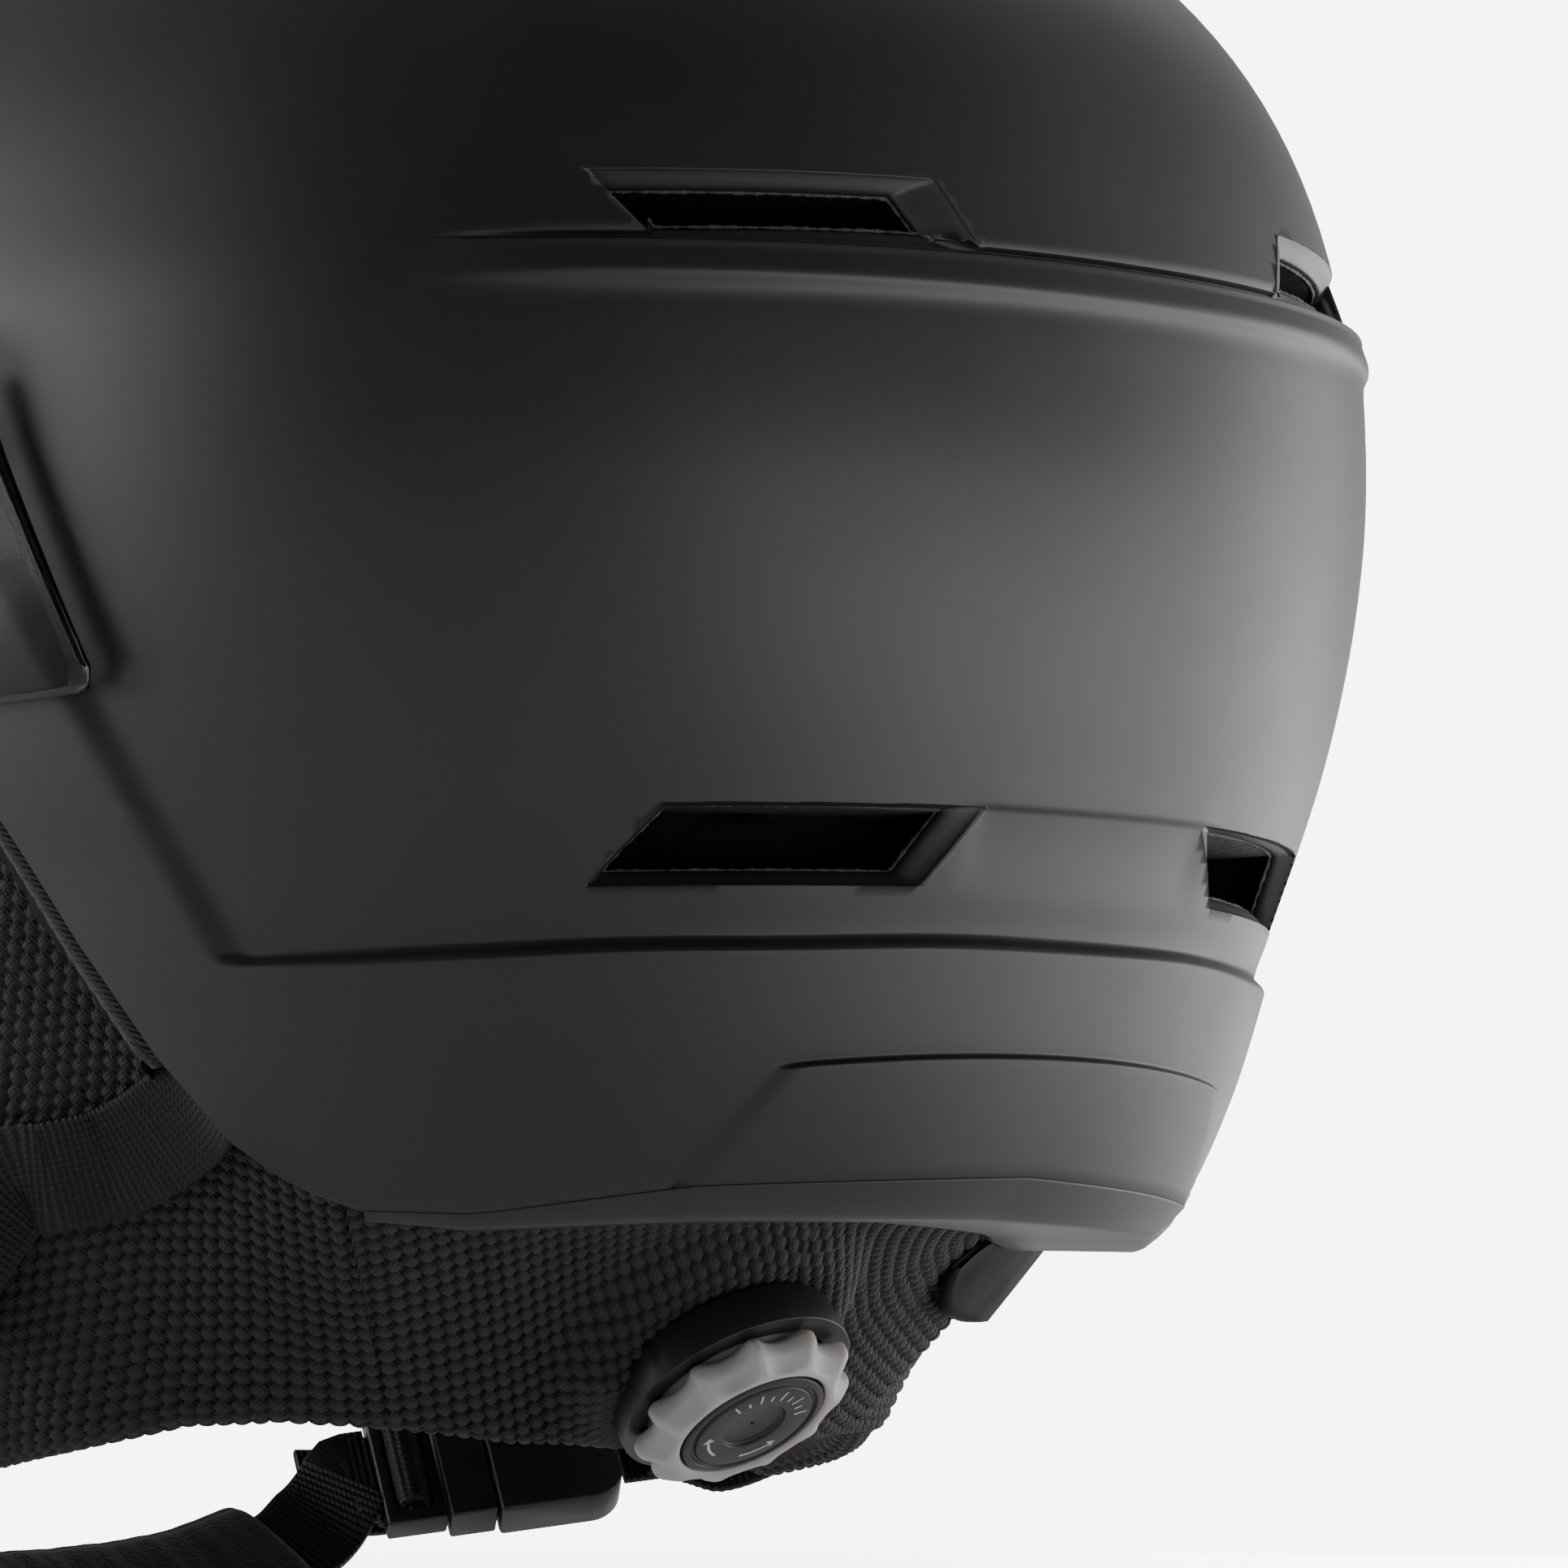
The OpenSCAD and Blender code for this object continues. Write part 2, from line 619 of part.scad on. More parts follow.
module dial_disc() {
  color([0.29, 0.29, 0.29])
    on_dial(-3.7)
      difference() {
        cylinder(h = 3.4, r = disc_r, $fn = 64);
        translate([0, 0, 3.1])
          cylinder(h = 1, r = 4.6, $fn = round_fn);
      }
}
module dial_screw() {
  color([0.55, 0.56, 0.58])
    on_dial(-12) {
      cylinder(h = 6.2, r = 1.2, $fn = 24);
      translate([0, 0, 6.1])
        cylinder(h = 1.7, r = 3.3, $fn = 32);
    }
}

// Involute tooth: half of the angle that it spans at a radius
function involute(a) = tan(a) * 180 / PI - a;
base_circle = pitch_r * cos(press_a);
function half_tooth(r) =
  (tooth_pitch / 2 - backlash) / 2 / pitch_r * 180 / PI + involute(press_a)
    - involute(acos(min(1, base_circle / max(r, base_circle))));
function gear_outline() =
  let (radii = [pitch_r - dedendum, base_circle, pitch_r, pitch_r + addendum])
  [for (i = [0 : teeth - 1]) each concat(
    [for (r = radii) let (a = 360 * i / teeth - half_tooth(r)) [r * sin(a), r * cos(a)]],
    [for (k = [3 : -1 : 0])
      let (r = radii[k], a = 360 * i / teeth + half_tooth(r)) [r * sin(a), r * cos(a)]])];

module dial_pinion() {
  color([0.4, 0.4, 0.42])
    difference() {
      union() {
        on_dial(-rack_low + 0.1)
          linear_extrude(2.8)
            polygon(gear_outline());
        on_dial(-rack_low + 0.2)
          cylinder(h = rack_low - dial_h - 0.3, r = shaft_r, $fn = round_fn);
        on_dial(-dial_h - 0.3)
          cylinder(h = 1.6, r = shaft_r - 0.7, $fn = round_fn);
        on_dial(-cover_low)
          cylinder(h = cover_low - rack_low + 0.5, r = 1.5, $fn = 32);
      }
      on_dial(-12.5)
        cylinder(h = 8, r = 1.25, $fn = 24);
    }
}

module dial_housing() {
  guide_in = pitch_r + dedendum + rack_back + 0.35;
  guide_t = 2.2;
  color([0.08, 0.08, 0.08])
    on_dial(0)
      difference() {
        union() {
          translate([0, 0, -collar_low + 0.3])
            cylinder(h = collar_low - collar_high - 0.3, r = collar_r, $fn = 64);
          translate([0, 0, -plate_low])
            cylinder(h = plate_low - collar_low + 0.4, r = plate_r, $fn = 64);
          for (side = [-1, 1])
            translate([-8, side > 0 ? guide_in : -guide_in - guide_t, -rack_low - 0.4])
              cube([16, guide_t, rack_low + 0.5 - plate_low]);
        }
        translate([0, 0, -plate_low - cut_past])
          cylinder(h = 20, r = shaft_r + running_gap, $fn = round_fn);
        translate([0, 0, -pocket_low])
          cylinder(h = pocket_low, r = ring_hub_r + 0.5, $fn = 64);
      }
}

tongue_y = 86.6;
tongue_t = 1.8;
tongue_w = 24;
module fit_rail() {
  lip_y = tongue_y - tongue_t / 2 - seat_gap;
  color([0.12, 0.12, 0.12])
    difference() {
      translate([-rail_w / 2, lip_y - 1.4, rail_low])
        cube([rail_w, rail_back - lip_y + 1.4, rail_high - rail_low]);
      translate([-tongue_w / 2 - seat_gap, lip_y, rail_low - cut_past])
        cube([tongue_w + 2 * seat_gap, tongue_t + 2 * seat_gap, rail_high - rail_low + 2 * cut_past]);
      translate([-tongue_w / 2 + 2, lip_y - 5, rail_low - cut_past])
        cube([tongue_w - 4, 6, rail_high - rail_low + 2 * cut_past]);
    }
}
module fit_carriage() {
  arm = [[0, tongue_y, 27], [0, tongue_y, 22], [0, 82, 15.5], [0, 68.5, 9.4], [0, 54.5, 5.6],
    dial_point(0, -9, -cover_low + 0.9)];
  color([0.1, 0.1, 0.1])
    difference() {
      union() {
        translate([-tongue_w / 2, tongue_y - tongue_t / 2, 26])
          cube([tongue_w, tongue_t, 24]);
        ribbon(arm, [for (p = arm) [1, 0, 0]], tongue_w - 7, tongue_t);
        on_dial(-cover_low)
          difference() {
            cylinder(h = cover_low - cover_high, r = 13, $fn = round_fn);
            translate([0, 0, -cut_past])
              cylinder(h = 6, r = 1.5 + running_gap, $fn = 32);
          }
      }
      for (route = [band_route_left, band_route_right])
        band_sweep(route, running_room);
    }
}

// Toothed bar: side 1 lies on the front side of the pinion, side -1 on its rear side
module rack(side, from, to) {
  root = pitch_r + dedendum;
  tip = pitch_r - addendum;
  half = (tooth_pitch / 2 - backlash) / 2;
  spread = tan(press_a);
  count = floor((to - from) / tooth_pitch) - 1;
  start = (round(from / tooth_pitch) + 0.5) * tooth_pitch;
  tooth = [[-half - dedendum * spread, root], [-half + addendum * spread, tip],
    [half - addendum * spread, tip], [half + dedendum * spread, root]];
  points = concat([[from, root + rack_back], [from, root]],
    [for (i = [0 : count], p = tooth) [start + i * tooth_pitch + p[0], p[1]]],
    [[to + 2, root], [to + 2, root + rack_back]]);
  on_dial(-rack_low)
    linear_extrude(3)
      polygon([for (p = points) [p[0], side * p[1]]]);
}
rack_from = -8;
rack_to = 12;
rack_mid = pitch_r + dedendum + rack_back / 2;
arm_w = 9;
band_slot_w = 62;
// A band's arm runs in a tunnel of the neck roll: narrow at the rack, wide along the head
arm_t = 1.6;
running_room = 0.4;
tunnel_gap = 0.8;
tunnel_past = 9;
band_route_left = smooth([dial_point(rack_to, rack_mid, -rack_low + 1.5), [20.5, 33.5, -13.5],
  [28, 31.5, -10], [34.5, 31, -8], [39, 31.5, -7.2]], 2);
band_route_right = smooth([dial_point(-rack_to, -rack_mid, -rack_low + 1.5), [-18.5, 41.5, -7.2],
  [-25, 35.3, -7], [-31, 31.8, -7], [-38.5, 31.3, -7]], 2);
band_in = 8.4;
band_out = 4.2;
function band_side(i) = [0, -0.8 * max(0, 1 - i / 4), 1];
function band_w(i) = mix(rack_back - 0.2, arm_w, clamp((i - 2) / 3));
module band_arm(route, grow = 0) {
  ribbon(route, [for (i = [0 : len(route) - 1]) band_side(i)],
    [for (i = [0 : len(route) - 1]) band_w(i) + 2 * grow], arm_t + 2 * grow);
}
// Room that an arm sweeps from its outermost place to its innermost
module band_sweep(route, gap) {
  way = sign(route[0][0]);
  for (i = [0 : len(route) - 2])
    hull()
      for (d = [band_out + gap, -band_in - gap])
        translate([way * d, 0, 0])
          ribbon([route[i], route[i + 1]], [band_side(i), band_side(i + 1)],
            [for (k = [i, i + 1]) band_w(k) + 2 * gap], arm_t + 2 * gap);
}
module band_tunnels() {
  for (route = [band_route_left, band_route_right]) {
    end = route[len(route) - 1];
    band_arm(concat(route, [end + [sign(end[0]) * tunnel_past, 1, 0]]), tunnel_gap);
    band_sweep(route, tunnel_gap);
  }
}
module fit_band_left() {
  color([0.14, 0.14, 0.14])
    union() {
      rack(1, rack_from, rack_to);
      band_arm(band_route_left);
    }
}
module fit_band_right() {
  color([0.14, 0.14, 0.14])
    union() {
      mirror([1, 0, 0])
        rack(-1, rack_from, rack_to);
      band_arm(band_route_right);
    }
}

// ---- Straps ----
function inside_pt(a, z, d) = polar(radius_at(shell_form, a, z) - d, a, z);
function outside_pt(a, z, d = 0.5) = polar(knit_r(a, z) + web_t / 2 + d, a, z);
rear_route_in = smooth([inside_pt(50, 33, 5), inside_pt(56, 28, 4.7), inside_pt(61.5, 23.2, 4.4),
  inside_pt(66, 19.3, 4.3)], 2);
front_route_in = [inside_pt(99, 104, 5), inside_pt(99, 96, 4.2), inside_pt(99.3, 86, 4)];
front_way = [cos(100), -sin(100), 0];
// The way that the shell and the knit rise at a point
function shell_slope(p) =
  let (a = atan2(p[0], p[1])) on_form(shell_form, a, p[2] + 5) - on_form(shell_form, a, p[2] - 5);
function slope_of(p) =
  let (a = atan2(p[0], p[1]))
  polar(knit_r(a, p[2] + 5), a, p[2] + 5) - polar(knit_r(a, p[2] - 5), a, p[2] - 5);

divider_a = 104;
divider_z = -8;
divider_tilt = 16;
divider_t = 4.2;
divider_w = 20;
divider_h = 19;
divider_at = polar(knit_r(divider_a, divider_z) + divider_t / 2 + 1.6, divider_a, divider_z);
divider_y_axis = [-cos(divider_a), sin(divider_a), 0];
divider_z_axis = polar(sin(divider_tilt), divider_a, cos(divider_tilt));
function divider_pt(y, z) = divider_at + y * divider_y_axis + z * divider_z_axis;

web_gap = 0.5;
lead = 6;
rear_route_out = smooth([outside_pt(70.5, 15), outside_pt(75, 11.6), outside_pt(80, 8.7),
  outside_pt(85, 7, 1), outside_pt(89.4, 5.4, 1.5), divider_pt(divider_w / 2 + lead, 1)], 2);
rear_route = concat(rear_route_in, rear_route_out, [divider_pt(divider_w / 2 + web_gap, 1)]);
front_route_out = smooth([polar(101, 100, 62), polar(98, 101, 36),
  divider_pt(-1, divider_h / 2 + lead)], 2);
front_route = concat(front_route_in, front_route_out, [divider_pt(-1, divider_h / 2 + web_gap)]);

module anchor_disc(place, x) {
  at_anchor(place, x)
    cylinder(h = anchor_t, r = anchor_r, $fn = round_fn);
}
module strap_anchors() {
  color([0.15, 0.15, 0.15])
    for (flip = [false, true], place = [rear_anchor, front_anchor])
      flip_x(flip)
        anchor_disc(place, anchor_depth);
}
module strap_rear(flip) {
  color([0.1, 0.1, 0.1])
    flip_x(flip)
      ribbon(rear_route, concat([for (p = rear_route_in) shell_slope(p)],
        [for (p = rear_route_out) mix(unit(slope_of(p)), divider_z_axis, clamp((10 - p[1]) / 20))],
        [divider_z_axis]), web_w, web_t);
}
module strap_front(flip) {
  color([0.1, 0.1, 0.1])
    flip_x(flip)
      ribbon(front_route, [for (p = front_route) front_way], web_w, web_t);
}
module strap_divider(flip) {
  slot_w = web_w + 1;
  color([0.05, 0.05, 0.05])
    flip_x(flip)
      translate(divider_at)
        rotate([0, 0, 90 - divider_a])
          rotate([0, divider_tilt, 0])
            difference() {
              hull()
                for (y = [-1, 1], z = [-1, 1])
                  translate([-divider_t / 2, y * (divider_w / 2 - 3), z * (divider_h / 2 - 3)])
                    rotate([0, 90, 0])
                      cylinder(h = divider_t, r = 3, $fn = 32);
              for (z = [-5.5, 2.5])
                translate([-divider_t, -slot_w / 2, z])
                  cube([2 * divider_t, slot_w, 2.6]);
            }
}

// Buckle on the right of the throat, seen along its own axes
buckle_at = [-41, -58.5, -30.5];
buckle_x = unit([-24, 16.5, 4]);
buckle_y = unit(let (w = [-0.2, 0.72, -0.66]) w - buckle_x * (w * buckle_x));
buckle_z = cross(buckle_x, buckle_y);
module on_buckle() {
  multmatrix([for (i = [0 : 2]) [buckle_x[i], buckle_y[i], buckle_z[i], buckle_at[i]]])
    children();
}
function buckle_pt(x) = buckle_at + x * buckle_x;
lock_len = 9;
plug_len = 7;
prong_len = 14;
socket_len = 19;
buckle_w = 23;
buckle_t = 7;
socket_x = lock_len / 2 + seat_gap + plug_len + 0.4;

// Chin webbing from the left divider to the buckle, and the short end on the right
chin_route = concat([divider_pt(0, -divider_h / 2 - web_gap)],
  smooth([divider_pt(0, -divider_h / 2 - lead), [79.5, -31, -32], [70, -42.5, -39.5], [55, -55.5, -47],
    [38, -62.5, -50.5], [18, -65.5, -50.5], [-5, -65, -48], [-21, -63.5, -42.8], [-29, -64, -38],
    buckle_pt(-lock_len / 2 - 4)], 2), [buckle_pt(-lock_len / 2 - web_gap)]);
chin_widths = [for (i = [0 : len(chin_route) - 1])
  i > 16 ? buckle_y : mix(divider_y_axis, [0, 0.75, -0.66], clamp((i - 1) / 9))];

module chin_strap_left() {
  color([0.1, 0.1, 0.1])
    ribbon(chin_route, chin_widths, web_w, web_t);
}
module chin_strap_right() {
  function far(v) = [-v[0], v[1], v[2]];
  end = socket_x + socket_len;
  route = concat([buckle_pt(end + web_gap)],
    smooth([buckle_pt(end + lead), [-78.5, -32.5, -28], far(divider_pt(0, -divider_h / 2 - lead))], 3),
    [far(divider_pt(0, -divider_h / 2 - web_gap))]);
  n = len(route) - 1;
  way = [for (i = [0 : n]) mix(buckle_y, far(divider_y_axis), clamp((i - 1) / (n - 2)))];
  color([0.1, 0.1, 0.1])
    ribbon(route, way, web_w, web_t);
}
module chin_pad() {
  pad = [for (i = [8 : 15]) chin_route[i]];
  wide = [for (i = [8 : 15]) chin_widths[i]];
  color([0.05, 0.05, 0.05])
    difference() {
      ribbon(pad, wide, chin_pad_w, chin_pad_t);
      ribbon([for (i = [7 : 16]) chin_route[i]], [for (i = [7 : 16]) chin_widths[i]], web_w + 1, web_t + 1);
    }
}
module strap_keeper() {
  k = 6;
  at = [for (i = [k - 1 : k]) chin_route[i]];
  wide = [for (i = [k - 1 : k]) chin_widths[i]];
  mid = (at[0] + at[1]) / 2;
  way = unit(at[1] - at[0]);
  color([0.05, 0.05, 0.05])
    difference() {
      ribbon([mid - way * 3, mid + way * 3], wide, web_w + 4, web_t + 3.2);
      ribbon([mid - way * 5, mid + way * 5], wide, web_w + 0.8, web_t + 0.8);
    }
}
module ladder_lock() {
  color([0.04, 0.04, 0.04])
    on_buckle()
      difference() {
        translate([-lock_len / 2, -buckle_w / 2 + 1, -2.2])
          cube([lock_len, buckle_w - 2, 4.4]);
        for (x = [-2.6, 1.2])
          translate([x, -web_w / 2 - 0.6, -5])
            cube([1.6, web_w + 1.2, 10]);
      }
}
module buckle_plug() {
  start = lock_len / 2 + seat_gap;
  color([0.04, 0.04, 0.04])
    on_buckle()
      union() {
        translate([start, -buckle_w / 2 + 0.5, -buckle_t / 2 + 0.4])
          cube([plug_len, buckle_w - 1, buckle_t - 0.8]);
        for (side = [-1, 0, 1])
          translate([start + plug_len - 0.5, side * 7.2 - 1.5, -1.5])
            cube([prong_len + 0.5 - abs(side) * 2, 3, 3]);
      }
}
module buckle_socket() {
  cavity = prong_len + 1.5;
  color([0.5, 0.52, 0.52])
    on_buckle()
      difference() {
        hull() {
          translate([socket_x, -buckle_w / 2, -buckle_t / 2])
            cube([4, buckle_w, buckle_t]);
          for (side = [-1, 1])
            translate([socket_x + socket_len - 5, side * (buckle_w / 2 - 5), -buckle_t / 2])
              cylinder(h = buckle_t, r = 5, $fn = 32);
        }
        translate([socket_x - cut_past, -8.7 - plug_gap, -1.5 - plug_gap])
          cube([cavity + cut_past, 17.4 + 2 * plug_gap, 3 + 2 * plug_gap]);
      }
}

outer_shell();
lower_rim();
foam_crown();
foam_block(false, 0, foam_rear_end);  // foam_rear_left
foam_block(true, 0, foam_rear_end);  // foam_rear_right
foam_block(false, foam_rear_end, foam_side_end);  // foam_side_left
foam_block(true, foam_rear_end, foam_side_end);  // foam_side_right
foam_block(false, foam_side_end, 180);  // foam_front_left
foam_block(true, foam_side_end, 180);  // foam_front_right
brow_seal();
crown_pad();
brow_pad();
side_pad(false);  // side_pad_left
side_pad(true);  // side_pad_right
ear_pad(false);  // ear_pad_left
ear_pad(true);  // ear_pad_right
ear_binding(false);  // ear_binding_left
ear_binding(true);  // ear_binding_right
neck_roll();
ear_flap_right();
visor_lens();
visor_frame();
visor_seal();
visor_hub(false);  // visor_hub_left
visor_hub(true);  // visor_hub_right
pivot_base(false);  // pivot_base_left
pivot_base(true);  // pivot_base_right
pivot_screw(false);  // pivot_screw_left
pivot_screw(true);  // pivot_screw_right
fit_rail();
fit_carriage();
dial_housing();
dial_ring();
dial_disc();
dial_pinion();
dial_screw();
fit_band_left();
fit_band_right();
strap_anchors();
strap_rear(false);  // strap_rear_left
strap_rear(true);  // strap_rear_right
strap_front(false);  // strap_front_left
strap_front(true);  // strap_front_right
strap_divider(false);  // strap_divider_left
strap_divider(true);  // strap_divider_right
chin_strap_left();
chin_strap_right();
chin_pad();
ladder_lock();
strap_keeper();
buckle_plug();
buckle_socket();
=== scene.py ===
"""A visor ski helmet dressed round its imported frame: shell, lining, visor, fit dial, straps and buckle.

Lengths in the classes are millimetres and angles are degrees round the helmet, from the rear towards the
wearer's left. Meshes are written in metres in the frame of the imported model.
"""
import logging
import math
from collections.abc import Callable, Sequence
from dataclasses import dataclass
from enum import Enum

import bmesh
import bpy
import numpy as np
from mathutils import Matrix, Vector


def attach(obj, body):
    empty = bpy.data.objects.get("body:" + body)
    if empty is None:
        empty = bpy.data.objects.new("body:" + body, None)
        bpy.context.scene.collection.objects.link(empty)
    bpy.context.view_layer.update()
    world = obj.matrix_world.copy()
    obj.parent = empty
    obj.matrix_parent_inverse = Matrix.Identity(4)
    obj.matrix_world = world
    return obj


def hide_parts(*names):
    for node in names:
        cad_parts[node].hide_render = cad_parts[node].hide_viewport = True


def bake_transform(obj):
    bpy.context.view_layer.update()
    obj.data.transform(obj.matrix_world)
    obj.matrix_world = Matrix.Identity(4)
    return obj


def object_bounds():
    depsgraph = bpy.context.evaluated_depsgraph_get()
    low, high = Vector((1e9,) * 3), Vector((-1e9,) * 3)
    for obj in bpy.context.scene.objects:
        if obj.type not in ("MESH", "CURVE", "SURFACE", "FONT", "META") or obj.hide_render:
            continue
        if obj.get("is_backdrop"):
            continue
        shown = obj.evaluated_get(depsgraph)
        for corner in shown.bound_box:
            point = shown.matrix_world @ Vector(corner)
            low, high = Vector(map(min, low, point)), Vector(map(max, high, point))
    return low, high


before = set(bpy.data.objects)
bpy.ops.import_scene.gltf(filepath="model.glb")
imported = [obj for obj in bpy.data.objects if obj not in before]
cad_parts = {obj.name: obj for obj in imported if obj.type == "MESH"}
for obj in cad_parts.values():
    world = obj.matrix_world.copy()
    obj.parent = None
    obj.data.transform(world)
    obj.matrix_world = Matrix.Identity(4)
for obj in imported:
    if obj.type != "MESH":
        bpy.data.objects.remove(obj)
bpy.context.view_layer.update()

LOG = logging.getLogger("helmet")
MM = 0.001
Array = np.ndarray
Table = Sequence[tuple[float, float]]
Colour = tuple[float, float, float]
Piece = bpy.types.Object
Tree = bpy.types.NodeTree
Socket = bpy.types.NodeSocket


# ---- Sums on arrays ----
def table(x: Array, points: Table) -> Array:
    """Straight lines between the points of a table.

    Args:
        x: Where to read it.
        points: Rising places with their values.
    Returns:
        The values at x.
    """
    xs, ys = np.array(points, float).T
    return np.interp(x, xs, ys)


def curve(x: Array, points: Table) -> Array:
    """A smooth curve through the points of a table: cubic pieces with their neighbours' slopes.

    Args:
        x: Where to read it.
        points: Rising places with their values.
    Returns:
        The values at x.
    """
    xs, ys = np.array(points, float).T
    slope = np.gradient(ys, xs)
    i = np.clip(np.searchsorted(xs, x) - 1, 0, len(xs) - 2)
    h = xs[i + 1] - xs[i]
    t = np.clip((x - xs[i]) / h, 0, 1)
    return ((1 + 2 * t) * (1 - t) ** 2 * ys[i] + t * (1 - t) ** 2 * h * slope[i]
            + t * t * (3 - 2 * t) * ys[i + 1] + t * t * (t - 1) * h * slope[i + 1])


def ease(x: Array, low: float, high: float) -> Array:
    """Rises from 0 at low to 1 at high with level ends: t squared times 3 less 2 t."""
    t = np.clip((np.asarray(x, float) - low) / (high - low), 0, 1)
    return t * t * (3 - 2 * t)


def mix(a: Array, b: Array, t: Array) -> Array:
    """The value a share t of the way from a to b."""
    return a + (b - a) * t


def polar(q: Array, a: Array, z: Array) -> Array:
    """Points at radius q, angle a and height z: q sin a, q cos a, z."""
    t = np.radians(a)
    return np.stack(np.broadcast_arrays(q * np.sin(t), q * np.cos(t), z), -1)


def step_on(radius: Callable, a: Array, z: Array, da: float, dz: float) -> Array:
    """The step over a surface, given as radius(a, z), between places da and dz away on either side."""
    return polar(radius(a + da, z + dz), a + da, z + dz) - polar(radius(a - da, z - dz), a - da, z - dz)


def unit(v: Array) -> Array:
    """Vectors of length one along the last axis."""
    v = np.asarray(v, float)
    return v / np.maximum(np.linalg.norm(v, axis=-1, keepdims=True), 1e-9)


def turn_of(a: Array) -> Array:
    """How far an angle lies from the rear, from 0 to 180 on either side."""
    return np.abs((np.asarray(a, float) + 180) % 360 - 180)


def spline(points: Array, steps: int) -> Array:
    """A smooth line through control points: a cubic between each two, steered by their neighbours.

    Args:
        points: Control points, one a row.
        steps: Places in each span.
    Returns:
        The points of the line, the last control point among them.
    """
    p = np.asarray(points, float)
    p = np.vstack([p[:1], p, p[-1:]])
    t = (np.arange(steps) / steps)[None, :, None]
    a, b, c, d = (p[k:len(p) - 3 + k, None, :] for k in range(4))
    line = 0.5 * (2 * b + (c - a) * t + (2 * a - 5 * b + 4 * c - d) * t * t
                  + (3 * b - a - 3 * c + d) * t ** 3)
    return np.vstack([line.reshape(-1, 3), p[-1:]])


def evenly(path: Array, step: float, *others: Array) -> list[Array]:
    """A path, and values that go with its points, read again at even steps of its length.

    Args:
        path: Points, one a row.
        step: Length of a step.
        others: Values for each point.
    Returns:
        The new path and the new values, with the length at each place last.
    """
    run = np.concatenate([[0], np.cumsum(np.linalg.norm(np.diff(path, axis=0), axis=1))])
    count = max(2, int(round(run[-1] / step)) + 1)
    at = np.linspace(0, run[-1], count)
    again = [[np.interp(at, run, v[:, k]) for k in range(v.shape[1])] for v in (path, *others)]
    return [np.stack(columns, 1) for columns in again] + [at]


def fillet(corners: Array, radii: Sequence[float], steps: int = 4) -> Array:
    """A closed outline with each corner rounded by a quadratic arc that starts and ends a radius from it.

    Args:
        corners: Corners in order, one a row.
        radii: Distance from each corner at which its rounding starts.
        steps: Places along each rounding.
    Returns:
        The rounded outline.
    """
    p = np.asarray(corners, float)
    back, ahead = unit(np.roll(p, 1, 0) - p), unit(np.roll(p, -1, 0) - p)
    r = np.asarray(radii, float)[:, None]
    t = np.linspace(0, 1, steps)[None, :, None]
    a, c = (p + back * r)[:, None, :], (p + ahead * r)[:, None, :]
    b = p[:, None, :]
    return ((1 - t) ** 2 * a + 2 * t * (1 - t) * b + t * t * c).reshape(-1, p.shape[1])


# ---- Meshes ----
def quads(n: int, m: int, wrap_u: bool = False, wrap_v: bool = False) -> Array:
    """Corner numbers of the faces of a grid of n by m points, which can close on itself either way."""
    i = np.arange(n if wrap_u else n - 1)[:, None]
    j = np.arange(m if wrap_v else m - 1)[None, :]
    i2, j2 = (i + 1) % n, (j + 1) % m
    return np.stack(np.broadcast_arrays(i * m + j, i2 * m + j, i2 * m + j2, i * m + j2), -1).reshape(-1, 4)


def make(name: str, verts: Array, four: Array, three: Array | None = None, uv: Array | None = None,
         closed: bool = True, smooth: bool = True) -> Piece:
    """An object from points in millimetres and faces by corner numbers. A closed mesh that holds a negative
    volume, the sum of its faces' tetrahedra, has its faces turned round.

    Args:
        name: Name of the piece.
        verts: Points, one a row.
        four: Faces with four corners.
        three: Faces with three corners.
        uv: Place of each point on the piece's own map, in millimetres.
        closed: Whether the mesh closes and so can be turned to face outwards.
        smooth: Whether the faces are shaded smooth.
    Returns:
        The object, linked to the scene.
    """
    verts = np.asarray(verts, float).reshape(-1, 3)
    three = np.zeros((0, 3), int) if three is None else np.asarray(three, int).reshape(-1, 3)
    if closed:
        tri = np.vstack([four[:, [0, 1, 2]], four[:, [0, 2, 3]], three])
        a, b, c = (verts[tri[:, k]] for k in range(3))
        if np.einsum("ij,ij->i", a, np.cross(b, c)).sum() < 0:
            four, three = four[:, ::-1], three[:, ::-1]
    mesh = bpy.data.meshes.new(name)
    loops = np.concatenate([four.ravel(), three.ravel()]).astype(np.int32)
    sizes = np.concatenate([np.full(len(four), 4), np.full(len(three), 3)])
    mesh.vertices.add(len(verts))
    mesh.vertices.foreach_set("co", (verts * MM).ravel())
    mesh.loops.add(len(loops))
    mesh.loops.foreach_set("vertex_index", loops)
    mesh.polygons.add(len(sizes))
    mesh.polygons.foreach_set("loop_start", np.concatenate([[0], np.cumsum(sizes)[:-1]]).astype(np.int32))
    mesh.polygons.foreach_set("use_smooth", np.full(len(sizes), smooth))
    if uv is not None:
        layer = mesh.uv_layers.new(name="UVMap")
        layer.data.foreach_set("uv", (np.asarray(uv, float).reshape(-1, 2)[loops] * MM).ravel())
    mesh.update()
    mesh.validate()
    piece = bpy.data.objects.new(name, mesh)
    bpy.context.scene.collection.objects.link(piece)
    return piece


